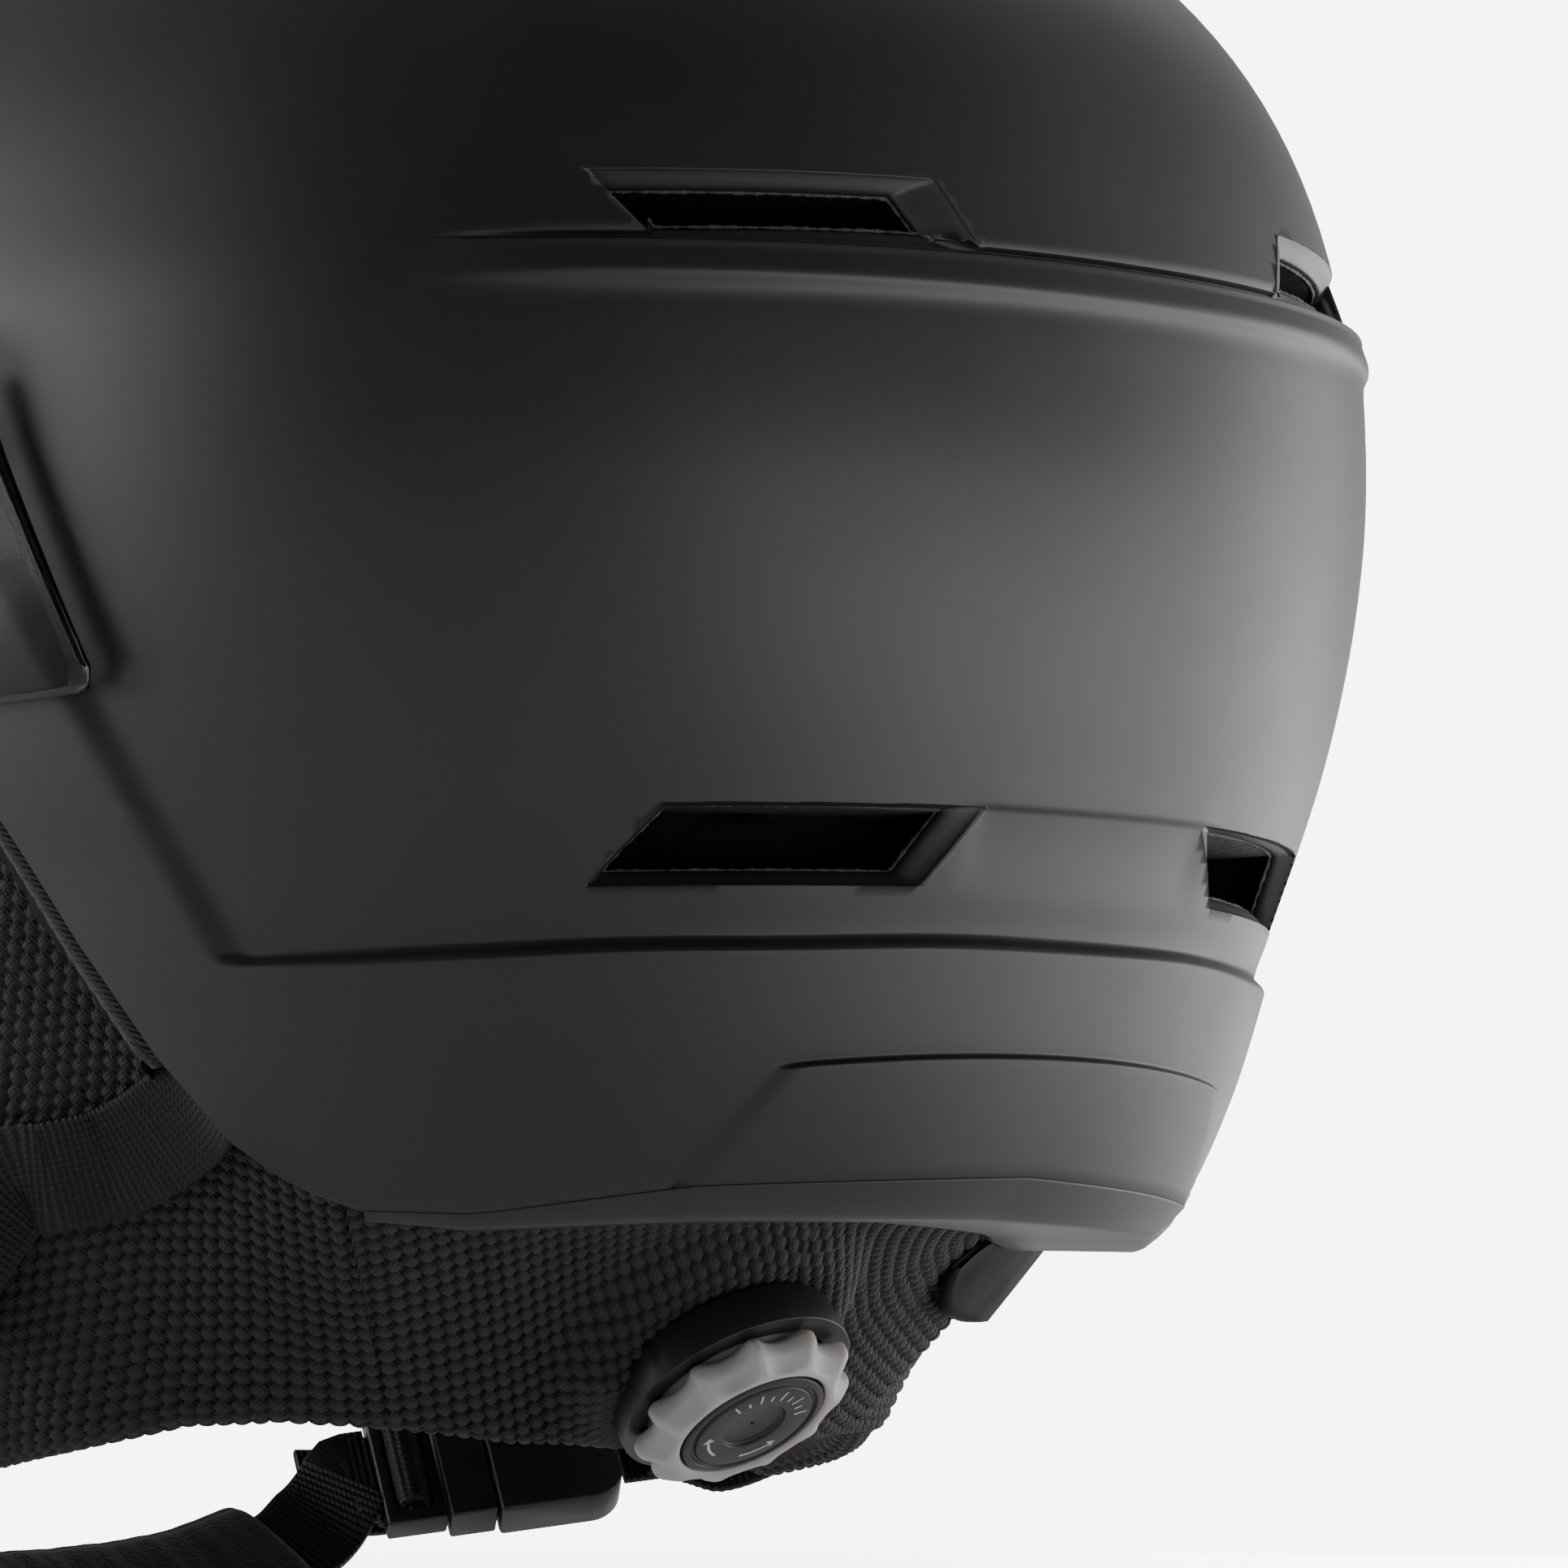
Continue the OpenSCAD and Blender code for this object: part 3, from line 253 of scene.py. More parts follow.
def tube(name: str, rings: Array, uv: Array | None = None) -> Piece:
    """A closed solid from rings of points, with a fan of faces on the middle of each end.

    Args:
        name: Name of the piece.
        rings: Points, ring by ring.
        uv: Place of each point on the piece's own map.
    Returns:
        The object.
    """
    n, m = rings.shape[:2]
    ends = np.stack([rings[0].mean(0), rings[-1].mean(0)])
    j = np.arange(m)
    k = (j + 1) % m
    first = np.stack([np.full(m, n * m), k, j], 1)
    last = np.stack([np.full(m, n * m + 1), (n - 1) * m + j, (n - 1) * m + k], 1)
    if uv is not None:
        uv = np.vstack([uv.reshape(-1, 2), uv[0].mean(0), uv[-1].mean(0)])
    return make(name, np.vstack([rings.reshape(-1, 3), ends]), quads(n, m, wrap_v=True),
                np.vstack([first, last]), uv)


def mark(piece: Piece, values: Array) -> None:
    """Writes a number for each point of a tube's rings as its attribute rise; the ends get a half. The
    knit's material paints shade by it, darker in the low places.
    """
    rise = piece.data.attributes.new("rise", "FLOAT", "POINT")
    rise.data.foreach_set("value", np.append(values.ravel(), [0.5, 0.5]).astype(np.float32))


def ring(name: str, sections: Array) -> Piece:
    """A closed solid from sections that go all the way round: a grid that closes both ways."""
    n, m = sections.shape[:2]
    return make(name, sections, quads(n, m, True, True))


def sheet(name: str, outside: Array, inside: Array) -> Piece:
    """A closed sheet between two grids of points of the same size."""
    return tube(name, np.concatenate([outside, inside[:, ::-1]], 1))


def carried(path: Array, side: Array, profile: Array) -> Array:
    """A profile carried along a path: each point is the path's, plus side times the profile's first number,
    plus the cross of the path's direction and side times its second.

    Args:
        path: Points of the path.
        side: The way that the profile's width lies at each point.
        profile: Outline as (across, thick), one for all the path or one for each of its points.
    Returns:
        Rings of points.
    """
    way = unit(np.gradient(path, axis=0))
    u = unit(side - way * (side * way).sum(1, keepdims=True))
    v = np.cross(way, u)
    p = np.broadcast_to(profile, (len(path),) + profile.shape[-2:])
    return path[:, None] + u[:, None] * p[..., :1] + v[:, None] * p[..., 1:]


def oval(w: float, h: float, power: float, count: int) -> Array:
    """A superellipse outline: cos and sin of the turn, each raised to 2 over power with its sign kept."""
    t = np.linspace(0, 2 * np.pi, count, endpoint=False)
    c, s = np.cos(t), np.sin(t)
    return np.stack([r / 2 * np.sign(k) * np.abs(k) ** (2 / power) for r, k in ((w, c), (h, s))], 1)


def settled(piece: Piece) -> Piece:
    """The piece with its modifiers worked into its mesh."""
    view = bpy.context.evaluated_depsgraph_get()
    view.update()
    mesh = bpy.data.meshes.new_from_object(piece.evaluated_get(view))
    piece.modifiers.clear()
    old, piece.data = piece.data, mesh
    bpy.data.meshes.remove(old)
    return piece


def cut(piece: Piece, cutters: Sequence[Piece]) -> Piece:
    """The piece less the cutters, which are then removed."""
    for tool in cutters:
        change = piece.modifiers.new("cut", "BOOLEAN")
        change.operation = "DIFFERENCE"
        change.solver = "EXACT"
        change.object = tool
    settled(piece)
    for tool in cutters:
        bpy.data.objects.remove(tool)
    return piece


# ---- Finishes ----
class Graph:
    """Writes shader nodes into a tree."""

    def __init__(self, tree: Tree) -> None:
        """Keeps the tree."""
        self.tree = tree

    def add(self, kind: str, values: dict | None = None, **settings: object) -> bpy.types.Node:
        """Adds a node.

        Args:
            kind: Name of the node's type, without ShaderNode.
            values: What its input sockets take: a number or colour, or a socket to link.
            settings: The node's own settings.
        Returns:
            The node.
        """
        node = self.tree.nodes.new(kind if kind.startswith("NodeGroup") else "ShaderNode" + kind)
        for name, value in settings.items():
            setattr(node, name, value)
        for key, value in (values or {}).items():
            if isinstance(value, Socket):
                self.tree.links.new(value, node.inputs[key])
            else:
                node.inputs[key].default_value = value
        return node

    def math(self, operation: str, a: object, b: object = 0.0, clamp: bool = False) -> Socket:
        """The result of a sum on two numbers."""
        return self.add("Math", {0: a, 1: b}, operation=operation, use_clamp=clamp).outputs[0]

    def times(self, a: object, b: object) -> Socket:
        """The product of two numbers."""
        return self.math("MULTIPLY", a, b)

    def plus(self, a: object, b: object) -> Socket:
        """The sum of two numbers."""
        return self.math("ADD", a, b)

    def over(self, a: object, b: object) -> Socket:
        """The first number divided by the second."""
        return self.math("DIVIDE", a, b)

    def noise(self, scale: object, detail: float, rough: float = 0.5) -> Socket:
        """Noise in the piece's own space, at a scale per metre."""
        place = self.add("TexCoord").outputs["Object"]
        values = {"Vector": place, "Scale": scale, "Detail": detail, "Roughness": rough}
        return self.add("TexNoise", values).outputs[0]

    def waves(self, given: bpy.types.Node) -> list[Socket]:
        """Sine waves across and along the piece's own map, by the group's inputs Across and Along."""
        part = self.add("SeparateXYZ", {0: self.add("TexCoord").outputs["UV"]})
        turn = 2000.0 * math.pi
        return [self.math("SINE", self.over(self.times(part.outputs[k], turn), given.outputs[name]))
                for k, name in enumerate(("Across", "Along"))]

    def span(self, value: object, low: float, high: float, to_low: float,
             to_high: float) -> Socket:
        """A value carried from one range to another, and held within it."""
        return self.add("MapRange", {0: value, 1: low, 2: high, 3: to_low, 4: to_high}).outputs[0]

    def blend(self, share: object, a: object, b: object) -> Socket:
        """A colour the given share of the way from a to b."""
        return self.add("Mix", {0: share, 6: a, 7: b}, data_type="RGBA").outputs[2]


def group(name: str, inputs: dict[str, float], outputs: Sequence[str]) -> tuple[Tree, Graph, object]:
    """A new shader node group.

    Args:
        name: Its name.
        inputs: Its number inputs and what they start as.
        outputs: Its number outputs.
    Returns:
        The group, a writer for it and its input node.
    """
    tree = bpy.data.node_groups.new(name, "ShaderNodeTree")
    for key, value in inputs.items():
        socket = tree.interface.new_socket(key, in_out="INPUT", socket_type="NodeSocketFloat")
        socket.default_value = value
    for key in outputs:
        tree.interface.new_socket(key, in_out="OUTPUT", socket_type="NodeSocketFloat")
    return tree, Graph(tree), tree.nodes.new("NodeGroupInput")


def grain_group() -> None:
    """Moulded grain: fine noise for height, and slow noise for wear and touch marks."""
    _, g, given = group("moulded_grain", {"Size": 0.6, "Marks": 30.0}, ["Height", "Mask"])
    fine = g.noise(g.over(1000.0, given.outputs["Size"]), 2.0, 0.6)
    slow = g.noise(g.over(1000.0, given.outputs["Marks"]), 5.0, 0.62)
    g.add("NodeGroupOutput", {"Height": fine, "Mask": g.span(slow, 0.35, 0.7, 0.0, 1.0)})


def weave_group() -> None:
    """Woven threads on the piece's own map: waves across and along, and ribs where Rib is 1. The mask is
    the threads' height times noise, so the hollows between threads and ribs take the dark colour as painted
    shade, with uneven tone from the noise.
    """
    inputs = {"Across": 1.2, "Along": 0.8, "Rib": 0.0, "Fuzz": 0.4}
    _, g, given = group("thread_weave", inputs, ["Height", "Mask"])
    across, along = g.waves(given)
    noise = g.noise(2600.0, 2.0)
    rib = given.outputs["Rib"]
    plain = g.times(g.times(across, along), g.math("SUBTRACT", 1.0, rib))
    threads = g.times(g.plus(g.plus(plain, g.times(along, rib)), 1.0), 0.5)
    height = g.plus(threads, g.times(noise, given.outputs["Fuzz"]))
    # Painted shade: the mask follows the threads' height, darker in their hollows; the noise adds uneven
    # tone.
    g.add("NodeGroupOutput", {"Height": height, "Mask": g.times(threads, noise)})


def knit_group() -> None:
    """Knit: the mask is the height of the knobs that the mesh carries, so the gaps between the knobs take
    the dark colour as painted shade and the tops the light one; fine threads give the height.
    """
    _, g, given = group("knit_threads", {"Across": 0.5, "Along": 0.5}, ["Height", "Mask"])
    # Painted shade: the knob height written as rise makes the colour dark in the gaps between the knobs and
    # light on their tops.
    rise = g.add("Attribute", attribute_name="rise").outputs["Fac"]
    across, along = g.waves(given)
    noise = g.noise(1900.0, 3.0)
    low = g.times(along, g.math("SUBTRACT", 1.0, rise))
    height = g.plus(g.plus(g.times(across, 0.25), low), g.times(noise, 0.8))
    g.add("NodeGroupOutput", {"Height": height, "Mask": g.times(rise, g.span(noise, 0.3, 0.7, 0.7, 1.0))})


class Touch(Enum):
    """What the small surface of a finish is made of."""

    GRAIN = "moulded_grain"
    WEAVE = "thread_weave"
    KNIT = "knit_threads"


@dataclass(frozen=True)
class Finish:
    """A surface: colour, gloss and small relief.

    Lengths are millimetres. Low and high are the colours at the bottom and the top of the mask.
    """

    name: str
    low: Colour
    high: Colour
    rough: tuple[float, float] = (0.42, 0.5)
    touch: Touch = Touch.GRAIN
    size: float = 0.6
    marks: float = 30.0
    relief: float = 0.02
    metallic: float = 0.0
    specular: float = 0.5
    sheen: float = 0.0
    through: float = 0.0
    bury: float = 0.0
    rib: float = 0.0
    ior: float = 1.5

    def material(self) -> bpy.types.Material:
        """The finish as a material, made once."""
        found = bpy.data.materials.get(self.name)
        if found:
            return found
        made = bpy.data.materials.new(self.name)
        made.use_nodes = True
        g = Graph(made.node_tree)
        surface = made.node_tree.nodes["Principled BSDF"]
        texture = g.add("Group", node_tree=bpy.data.node_groups[self.touch.value])
        names = ("Size", "Marks") if self.touch is Touch.GRAIN else ("Across", "Along")
        given = {names[0]: self.size, names[1]: self.marks}
        if self.touch is Touch.WEAVE:
            given["Rib"] = self.rib
        for key, value in given.items():
            texture.inputs[key].default_value = value
        mask = texture.outputs["Mask"]
        bump = g.add("Bump", {"Strength": 1.0, "Distance": self.relief * MM,
                              "Height": texture.outputs["Height"]})
        for socket, key in ((g.blend(mask, (*self.low, 1), (*self.high, 1)), "Base Color"),
                            (g.span(mask, 0, 1, *self.rough), "Roughness"), (bump.outputs[0], "Normal")):
            made.node_tree.links.new(socket, surface.inputs[key])
        plain = {"Metallic": self.metallic, "Specular IOR Level": self.specular, "Sheen Weight": self.sheen,
                 "IOR": self.ior, "Sheen Roughness": 0.45, "Transmission Weight": self.through,
                 "Subsurface Weight": self.bury, "Subsurface Scale": 0.004}
        for key, value in plain.items():
            surface.inputs[key].default_value = value
        return made


def grey(level: float, blue: float | None = None) -> Colour:
    """A grey, with a blue of its own where it isn't neutral."""
    return level, level, level if blue is None else blue


SHELL_BLACK = Finish("satin_black_shell", grey(0.011, 0.012), grey(0.014, 0.015), (0.4, 0.46),
                     relief=0.006, size=0.25, marks=40)
EDGE_BLACK = Finish("gloss_black_edge", grey(0.003), grey(0.004), (0.22, 0.3), relief=0.002, specular=0.3)
BEAD = Finish("torn_bead_edge", grey(0.02, 0.0205), grey(0.07, 0.071), (0.6, 0.75), size=1.1, marks=0.8,
              relief=0.4)
FOAM = Finish("moulded_bead_foam", grey(0.012, 0.0125), grey(0.03, 0.031), (0.7, 0.85), size=2.2,
              marks=1.6, relief=0.5)
# The liner's foam made near black for the vent throats and ends: painted shade for the dark inside of the
# vents.
VENT_SHADE_FOAM = Finish("bead_foam_painted_vent_shade", grey(0.0015), grey(0.004), (0.85, 0.95), size=2.2, marks=1.6,
                   relief=0.4, specular=0.15)
# The knit's low colour falls in the gaps between the knobs, by their height: painted shade.
KNIT = Finish("waffle_knit", grey(0.002), grey(0.024, 0.025), (0.6, 0.72), Touch.KNIT, 0.55, 0.42,
              relief=0.12, sheen=0.06, specular=0.35)
LINING = Finish("brushed_lining", grey(0.03, 0.031), grey(0.06, 0.062), (0.85, 0.95), size=0.5, marks=6,
                relief=0.15, sheen=0.35)
GREY_LINING = Finish("grey_brushed_lining", grey(0.2, 0.205), grey(0.3, 0.305), (0.85, 0.95), size=0.5,
                     marks=6, relief=0.15, sheen=0.3)
FLEECE = Finish("black_fleece", grey(0.005), grey(0.012), (0.9, 1.0), size=0.7, marks=4, relief=0.35,
                sheen=0.12)
# Webbing and tape take their dark colour in the hollows between threads and ribs, by the threads' height:
# painted shade.
WEBBING = Finish("grosgrain_webbing", grey(0.003), grey(0.016, 0.0165), (0.55, 0.68), Touch.WEAVE, 0.9,
                 1.0, relief=0.22, sheen=0.02, rib=0.6, specular=0.3)
TAPE = Finish("twill_tape", grey(0.012), grey(0.045, 0.046), (0.55, 0.68), Touch.WEAVE, 5.0, 0.8,
              relief=0.3, sheen=0.06, rib=1.0)
SMOOTH_LINING = Finish("smooth_dark_lining", grey(0.003), grey(0.007), (0.6, 0.75), size=0.4, marks=5,
                       relief=0.08, specular=0.25)
PLASTIC = Finish("moulded_black_plastic", grey(0.012), grey(0.018), (0.35, 0.45), size=0.3, relief=0.006)
NYLON = Finish("clear_grey_nylon", (0.3, 0.31, 0.31), (0.4, 0.41, 0.41), (0.35, 0.45), size=0.5,
               relief=0.01, bury=0.3)
FROST = Finish("frosted_dial", (0.4, 0.42, 0.415), (0.5, 0.52, 0.515), (0.42, 0.5), size=0.35, relief=0.01,
               bury=0.6)
DISC = Finish("dial_disc_grey", grey(0.018), grey(0.025), (0.38, 0.46), size=0.3, relief=0.006)
PRINT = Finish("light_print", grey(0.5), grey(0.6), (0.5, 0.6), relief=0.004)
RUBBER = Finish("soft_black_rubber", grey(0.015), grey(0.022), (0.6, 0.7), size=0.4, relief=0.01)
STEEL = Finish("dull_steel", grey(0.45, 0.46), grey(0.55, 0.56), (0.28, 0.4), metallic=1.0, size=0.4,
               relief=0.004)
LENS = Finish("smoked_lens", grey(0.62, 0.63), grey(0.66, 0.67), (0.05, 0.09), size=3.0, relief=0.0,
              through=1.0, specular=0.5, ior=1.16)


def dress(piece: Piece, finish: Finish, body: str, slot: str, *nodes: str) -> Piece:
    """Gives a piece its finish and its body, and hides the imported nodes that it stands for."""
    piece.data.materials.clear()
    piece.data.materials.append(finish.material())
    if body:
        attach(piece, body)
    if nodes:
        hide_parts(*nodes)
    LOG.info("%s: %d faces", piece.name, len(piece.data.polygons))
    return piece


def hard_part(node: str, finish: Finish, body: str, slot: str, edge: float = 0.35) -> Piece:
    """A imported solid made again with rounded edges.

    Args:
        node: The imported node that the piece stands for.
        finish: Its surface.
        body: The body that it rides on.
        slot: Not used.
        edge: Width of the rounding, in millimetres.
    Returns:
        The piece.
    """
    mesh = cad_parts[node].data.copy()
    work = bmesh.new()
    work.from_mesh(mesh)
    bmesh.ops.remove_doubles(work, verts=work.verts, dist=0.002 * MM)
    bmesh.ops.dissolve_limit(work, angle_limit=math.radians(0.6), verts=work.verts, edges=work.edges)
    work.to_mesh(mesh)
    work.free()
    mesh.shade_smooth()
    mesh.name = f"{node}_body"
    piece = bpy.data.objects.new(f"{node}_body", mesh)
    bpy.context.scene.collection.objects.link(piece)
    rounding = piece.modifiers.new("edge", "BEVEL")
    rounding.width = edge * MM
    rounding.segments = 2
    rounding.limit_method = "ANGLE"
    rounding.angle_limit = math.radians(40)
    rounding.use_clamp_overlap = True
    rounding.harden_normals = True
    settled(piece)
    return dress(piece, finish, body, slot, node)


def hard_parts(*rows: tuple[str, Finish, str, str, float]) -> None:
    """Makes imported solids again, a row of hard_part's arguments for each."""
    for row in rows:
        hard_part(*row)


# ---- The helmet's forms ----
@dataclass(frozen=True)
class Form:
    """A rounded form round the head: a superellipse in plan, closed above and tapered below."""

    half_w: float
    rear: float
    front: float
    crown: float
    side_in: float
    rear_in: float
    belt: float = 108.0
    plan: float = 2.2
    dome: float = 2.45

    def inset(self, d: float) -> "Form":
        """The form d smaller all round."""
        return Form(self.half_w - d, self.rear - d, self.front - d, self.crown - d, self.side_in,
                    self.rear_in)

    def reach(self, a: Array) -> Array:
        """Plan radius: a superellipse with its own half axes to the rear and the front."""
        t = np.radians(a)
        length = np.where(np.cos(t) > 0, self.rear, self.front)
        return ((np.abs(np.sin(t)) / self.half_w) ** self.plan
                + (np.abs(np.cos(t)) / length) ** self.plan) ** (-1 / self.plan)

    def share(self, a: Array, z: Array) -> Array:
        """Share of the plan radius left at a height: a superellipse above, 1 less a power below."""
        over = np.clip((z - self.belt) / self.crown, 0, 1)
        under = np.clip((self.belt - z) / self.belt, 0, None)
        taper = mix(self.side_in, self.rear_in, np.clip(np.cos(np.radians(a)), 0, 1))
        return np.where(z >= self.belt, (1 - over ** self.dome) ** (1 / self.dome),
                        1 - taper * under ** 1.5)

    def radius(self, a: Array, z: Array) -> Array:
        """Radius at an angle and a height."""
        return self.reach(a) * self.share(a, z)


SHELL_FORM = Form(110, 129, 134, 92, 0.21, 0.21)
HEAD_FORM = Form(81, 101, 101, 64, 0.08, 0.25)
EDGE_LINE: Table = ((0, 1.5), (28, 0.6), (45, -0.5), (54, 0.7), (60, 5.5), (64, 10.2), (70, 21.5),
                    (76, 36.5), (82, 54), (88, 70), (95, 83), (104, 92), (120, 97), (180, 99))
FOLD_LINE: Table = ((0, 5.2), (28, 4), (42, 1.8), (54, 0.9), (58, 0))
RIM_LINE: Table = ((0, -26), (35, -26), (45, -22), (52, -14), (58, -6), (180, -5))
TRIM_LINE: Table = ((0, 0.973), (36, 0.977), (46, 0.981), (54, 0.988), (63, 0.9945), (77, 0.9985),
                    (95, 0.996), (108, 0.990), (118, 0.9875), (135, 0.970), (200, 0.970))


def edge_z(a: Array) -> Array:
    """Height of the shell's lower edge."""
    return table(turn_of(a), EDGE_LINE)


def fold_h(a: Array) -> Array:
    """Height of the fold above the edge."""
    return table(turn_of(a), FOLD_LINE)


def mouth_r(a: Array) -> Array:
    """Radius of the shell's mouth, where the lining starts."""
    z = edge_z(a)
    return SHELL_FORM.radius(a, z) * table(z, TRIM_LINE) + table(turn_of(a), RIM_LINE)


@dataclass(frozen=True)
class Skin:
    """The shell's outside as a radius over angle and height, with its creases, bands and panels."""

    vent_step_z: float = 53.5
    strip_h: float = 2.0
    strip_w: float = 3.1
    strip_low: tuple[float, float] = (62.7, 33.5)
    strip_high: tuple[float, float] = (73.1, 68.4)
    panel_h: float = 1.3

    def crease_z(self, a: Array) -> Array:
        """Height of the top edge of the lower band."""
        return curve(turn_of(a), ((0, 35.4), (12, 35.3), (24, 34.4), (34, 34.0), (44, 33.2), (55, 32.6),
                                  (64, 32.4), (180, 32.4)))

    def panel_z(self, a: Array) -> Array:
        """Height of the tail panel's top edge."""
        return 22.2 - 0.0042 * turn_of(a) ** 2

    def strip_a(self, z: Array) -> Array:
        """Angle of the step that borders the face opening: a slanted line, then round the brow."""
        (a0, z0), (a1, z1) = self.strip_low, self.strip_high
        line = a0 + (z - z0) * (a1 - a0) / (z1 - z0)
        return line + ease(z, 84, 112) * 60

    def band(self, a: Array, z: Array) -> Array:
        """1 on the raised lower and front band, 0 on the body: one step at the crease, one at the strip."""
        low = 1 - ease(z - self.crease_z(a), -0.15, 2.1)
        front = ease(turn_of(a) - self.strip_a(z), -self.strip_w / 2, self.strip_w / 2)
        return 1 - (1 - low) * (1 - front)

    def offset(self, a: Array, z: Array) -> Array:
        """What the creases add to the plain form at each place."""
        t = turn_of(a)
        rear = 1 - ease(t, 118, 150)
        tail = curve(z, ((-5, -1.6), (0.0, -1.0), (3.0, -0.45), (5.7, 0.15), (10, 0.95), (14.6, 1.55),
                         (18, 1.85), (22, 2.08), (27, 2.1), (34, 1.95), (50, 1.95), (70, 1.9),
                         (100, 1.2), (200, 0)))
        front = self.strip_h * (1 - 0.75 * ease(t, 84, 110))
        raised = mix(tail, front, ease(t, 50, 62) * ease(z, 8, 30))
        raised = mix(raised, front, ease(t, 58, 66))
        out = raised * self.band(a, z)
        valley = np.exp(-((z - self.crease_z(a) - 3.4) / 2.4) ** 2) * (1 - ease(t, 56, 62))
        out = out - 0.28 * valley
        between = 1 - ease(t, 9.6, 12.6)
        below = 1 - ease(z, self.vent_step_z - 0.5, self.vent_step_z + 0.35)
        out = out - 0.75 * between * below * ease(z, 41, 50)
        out = out + 0.25 * between * np.exp(-((z - self.vent_step_z - 1.0) / 1.4) ** 2)
        out = out + self.panel(a, z)
        return (out + self.shelf(a, z)) * np.where(z > 30, rear, 1)

    def panel(self, a: Array, z: Array) -> Array:
        """A raised trapezoid on the tail: inside its top edge and its slanted ends."""
        t = turn_of(a)
        end = 27.6 - (z - 8.0) * (27.6 - 22.2) / 12.5
        return self.panel_h * (1 - ease(z - self.panel_z(a), -0.55, 0.3)) * (1 - ease(t - end, -0.5, 0.45))

    def shelf(self, a: Array, z: Array) -> Array:
        """The shelf under the dome: a ridge, a slope rising inwards, a crevice and the dome's lip."""
        t = turn_of(a)
        wide = 1 - ease(t, 37, 50)
        shape = curve(z, ((0, 0.0), (114, 0.0), (116.2, 0.02), (117.2, 0.15), (118.2, 0.5),
                          (119.2, 1.1), (119.9, 1.2), (121.4, 1.02), (122.8, 0.82), (123.55, 0.66),
                          (123.85, -0.6), (124.2, -1.6), (124.5, -1.2), (124.9, -0.72), (126.5, -0.58),
                          (130, -0.36), (135, 0.0), (200, 0.0)))
        return wide * shape

    def radius(self, a: Array, z: Array) -> Array:
        """Radius of the outside, creases and all."""
        plain = SHELL_FORM.radius(a, z)
        fade = 1 - 0.4 * ease(turn_of(a), 90, 150)
        trim = 1 - (1 - curve(z, TRIM_LINE)) * fade
        return plain * trim + self.offset(a, z) * np.clip(plain / 60, 0, 1)

    def point(self, a: Array, z: Array, depth: Array | float = 0.0) -> Array:
        """Points on the outside, or a depth under it along its normal."""
        here = polar(self.radius(a, z), a, z)
        if np.isscalar(depth) and depth == 0:
            return here
        return here - self.normal(a, z) * np.asarray(depth)[..., None]

    def normal(self, a: Array, z: Array, step: float = 0.6) -> Array:
        """Outward normals: the cross of the steps round and up, on the skin a little apart."""
        round_way, up_way = step_on(self.radius, a, z, step, 0), step_on(self.radius, a, z, 0, step)
        return unit(np.cross(up_way, round_way))


SKIN = Skin()


class Level(Enum):
    """The two rows of vents."""

    UPPER = "upper"
    LOWER = "lower"


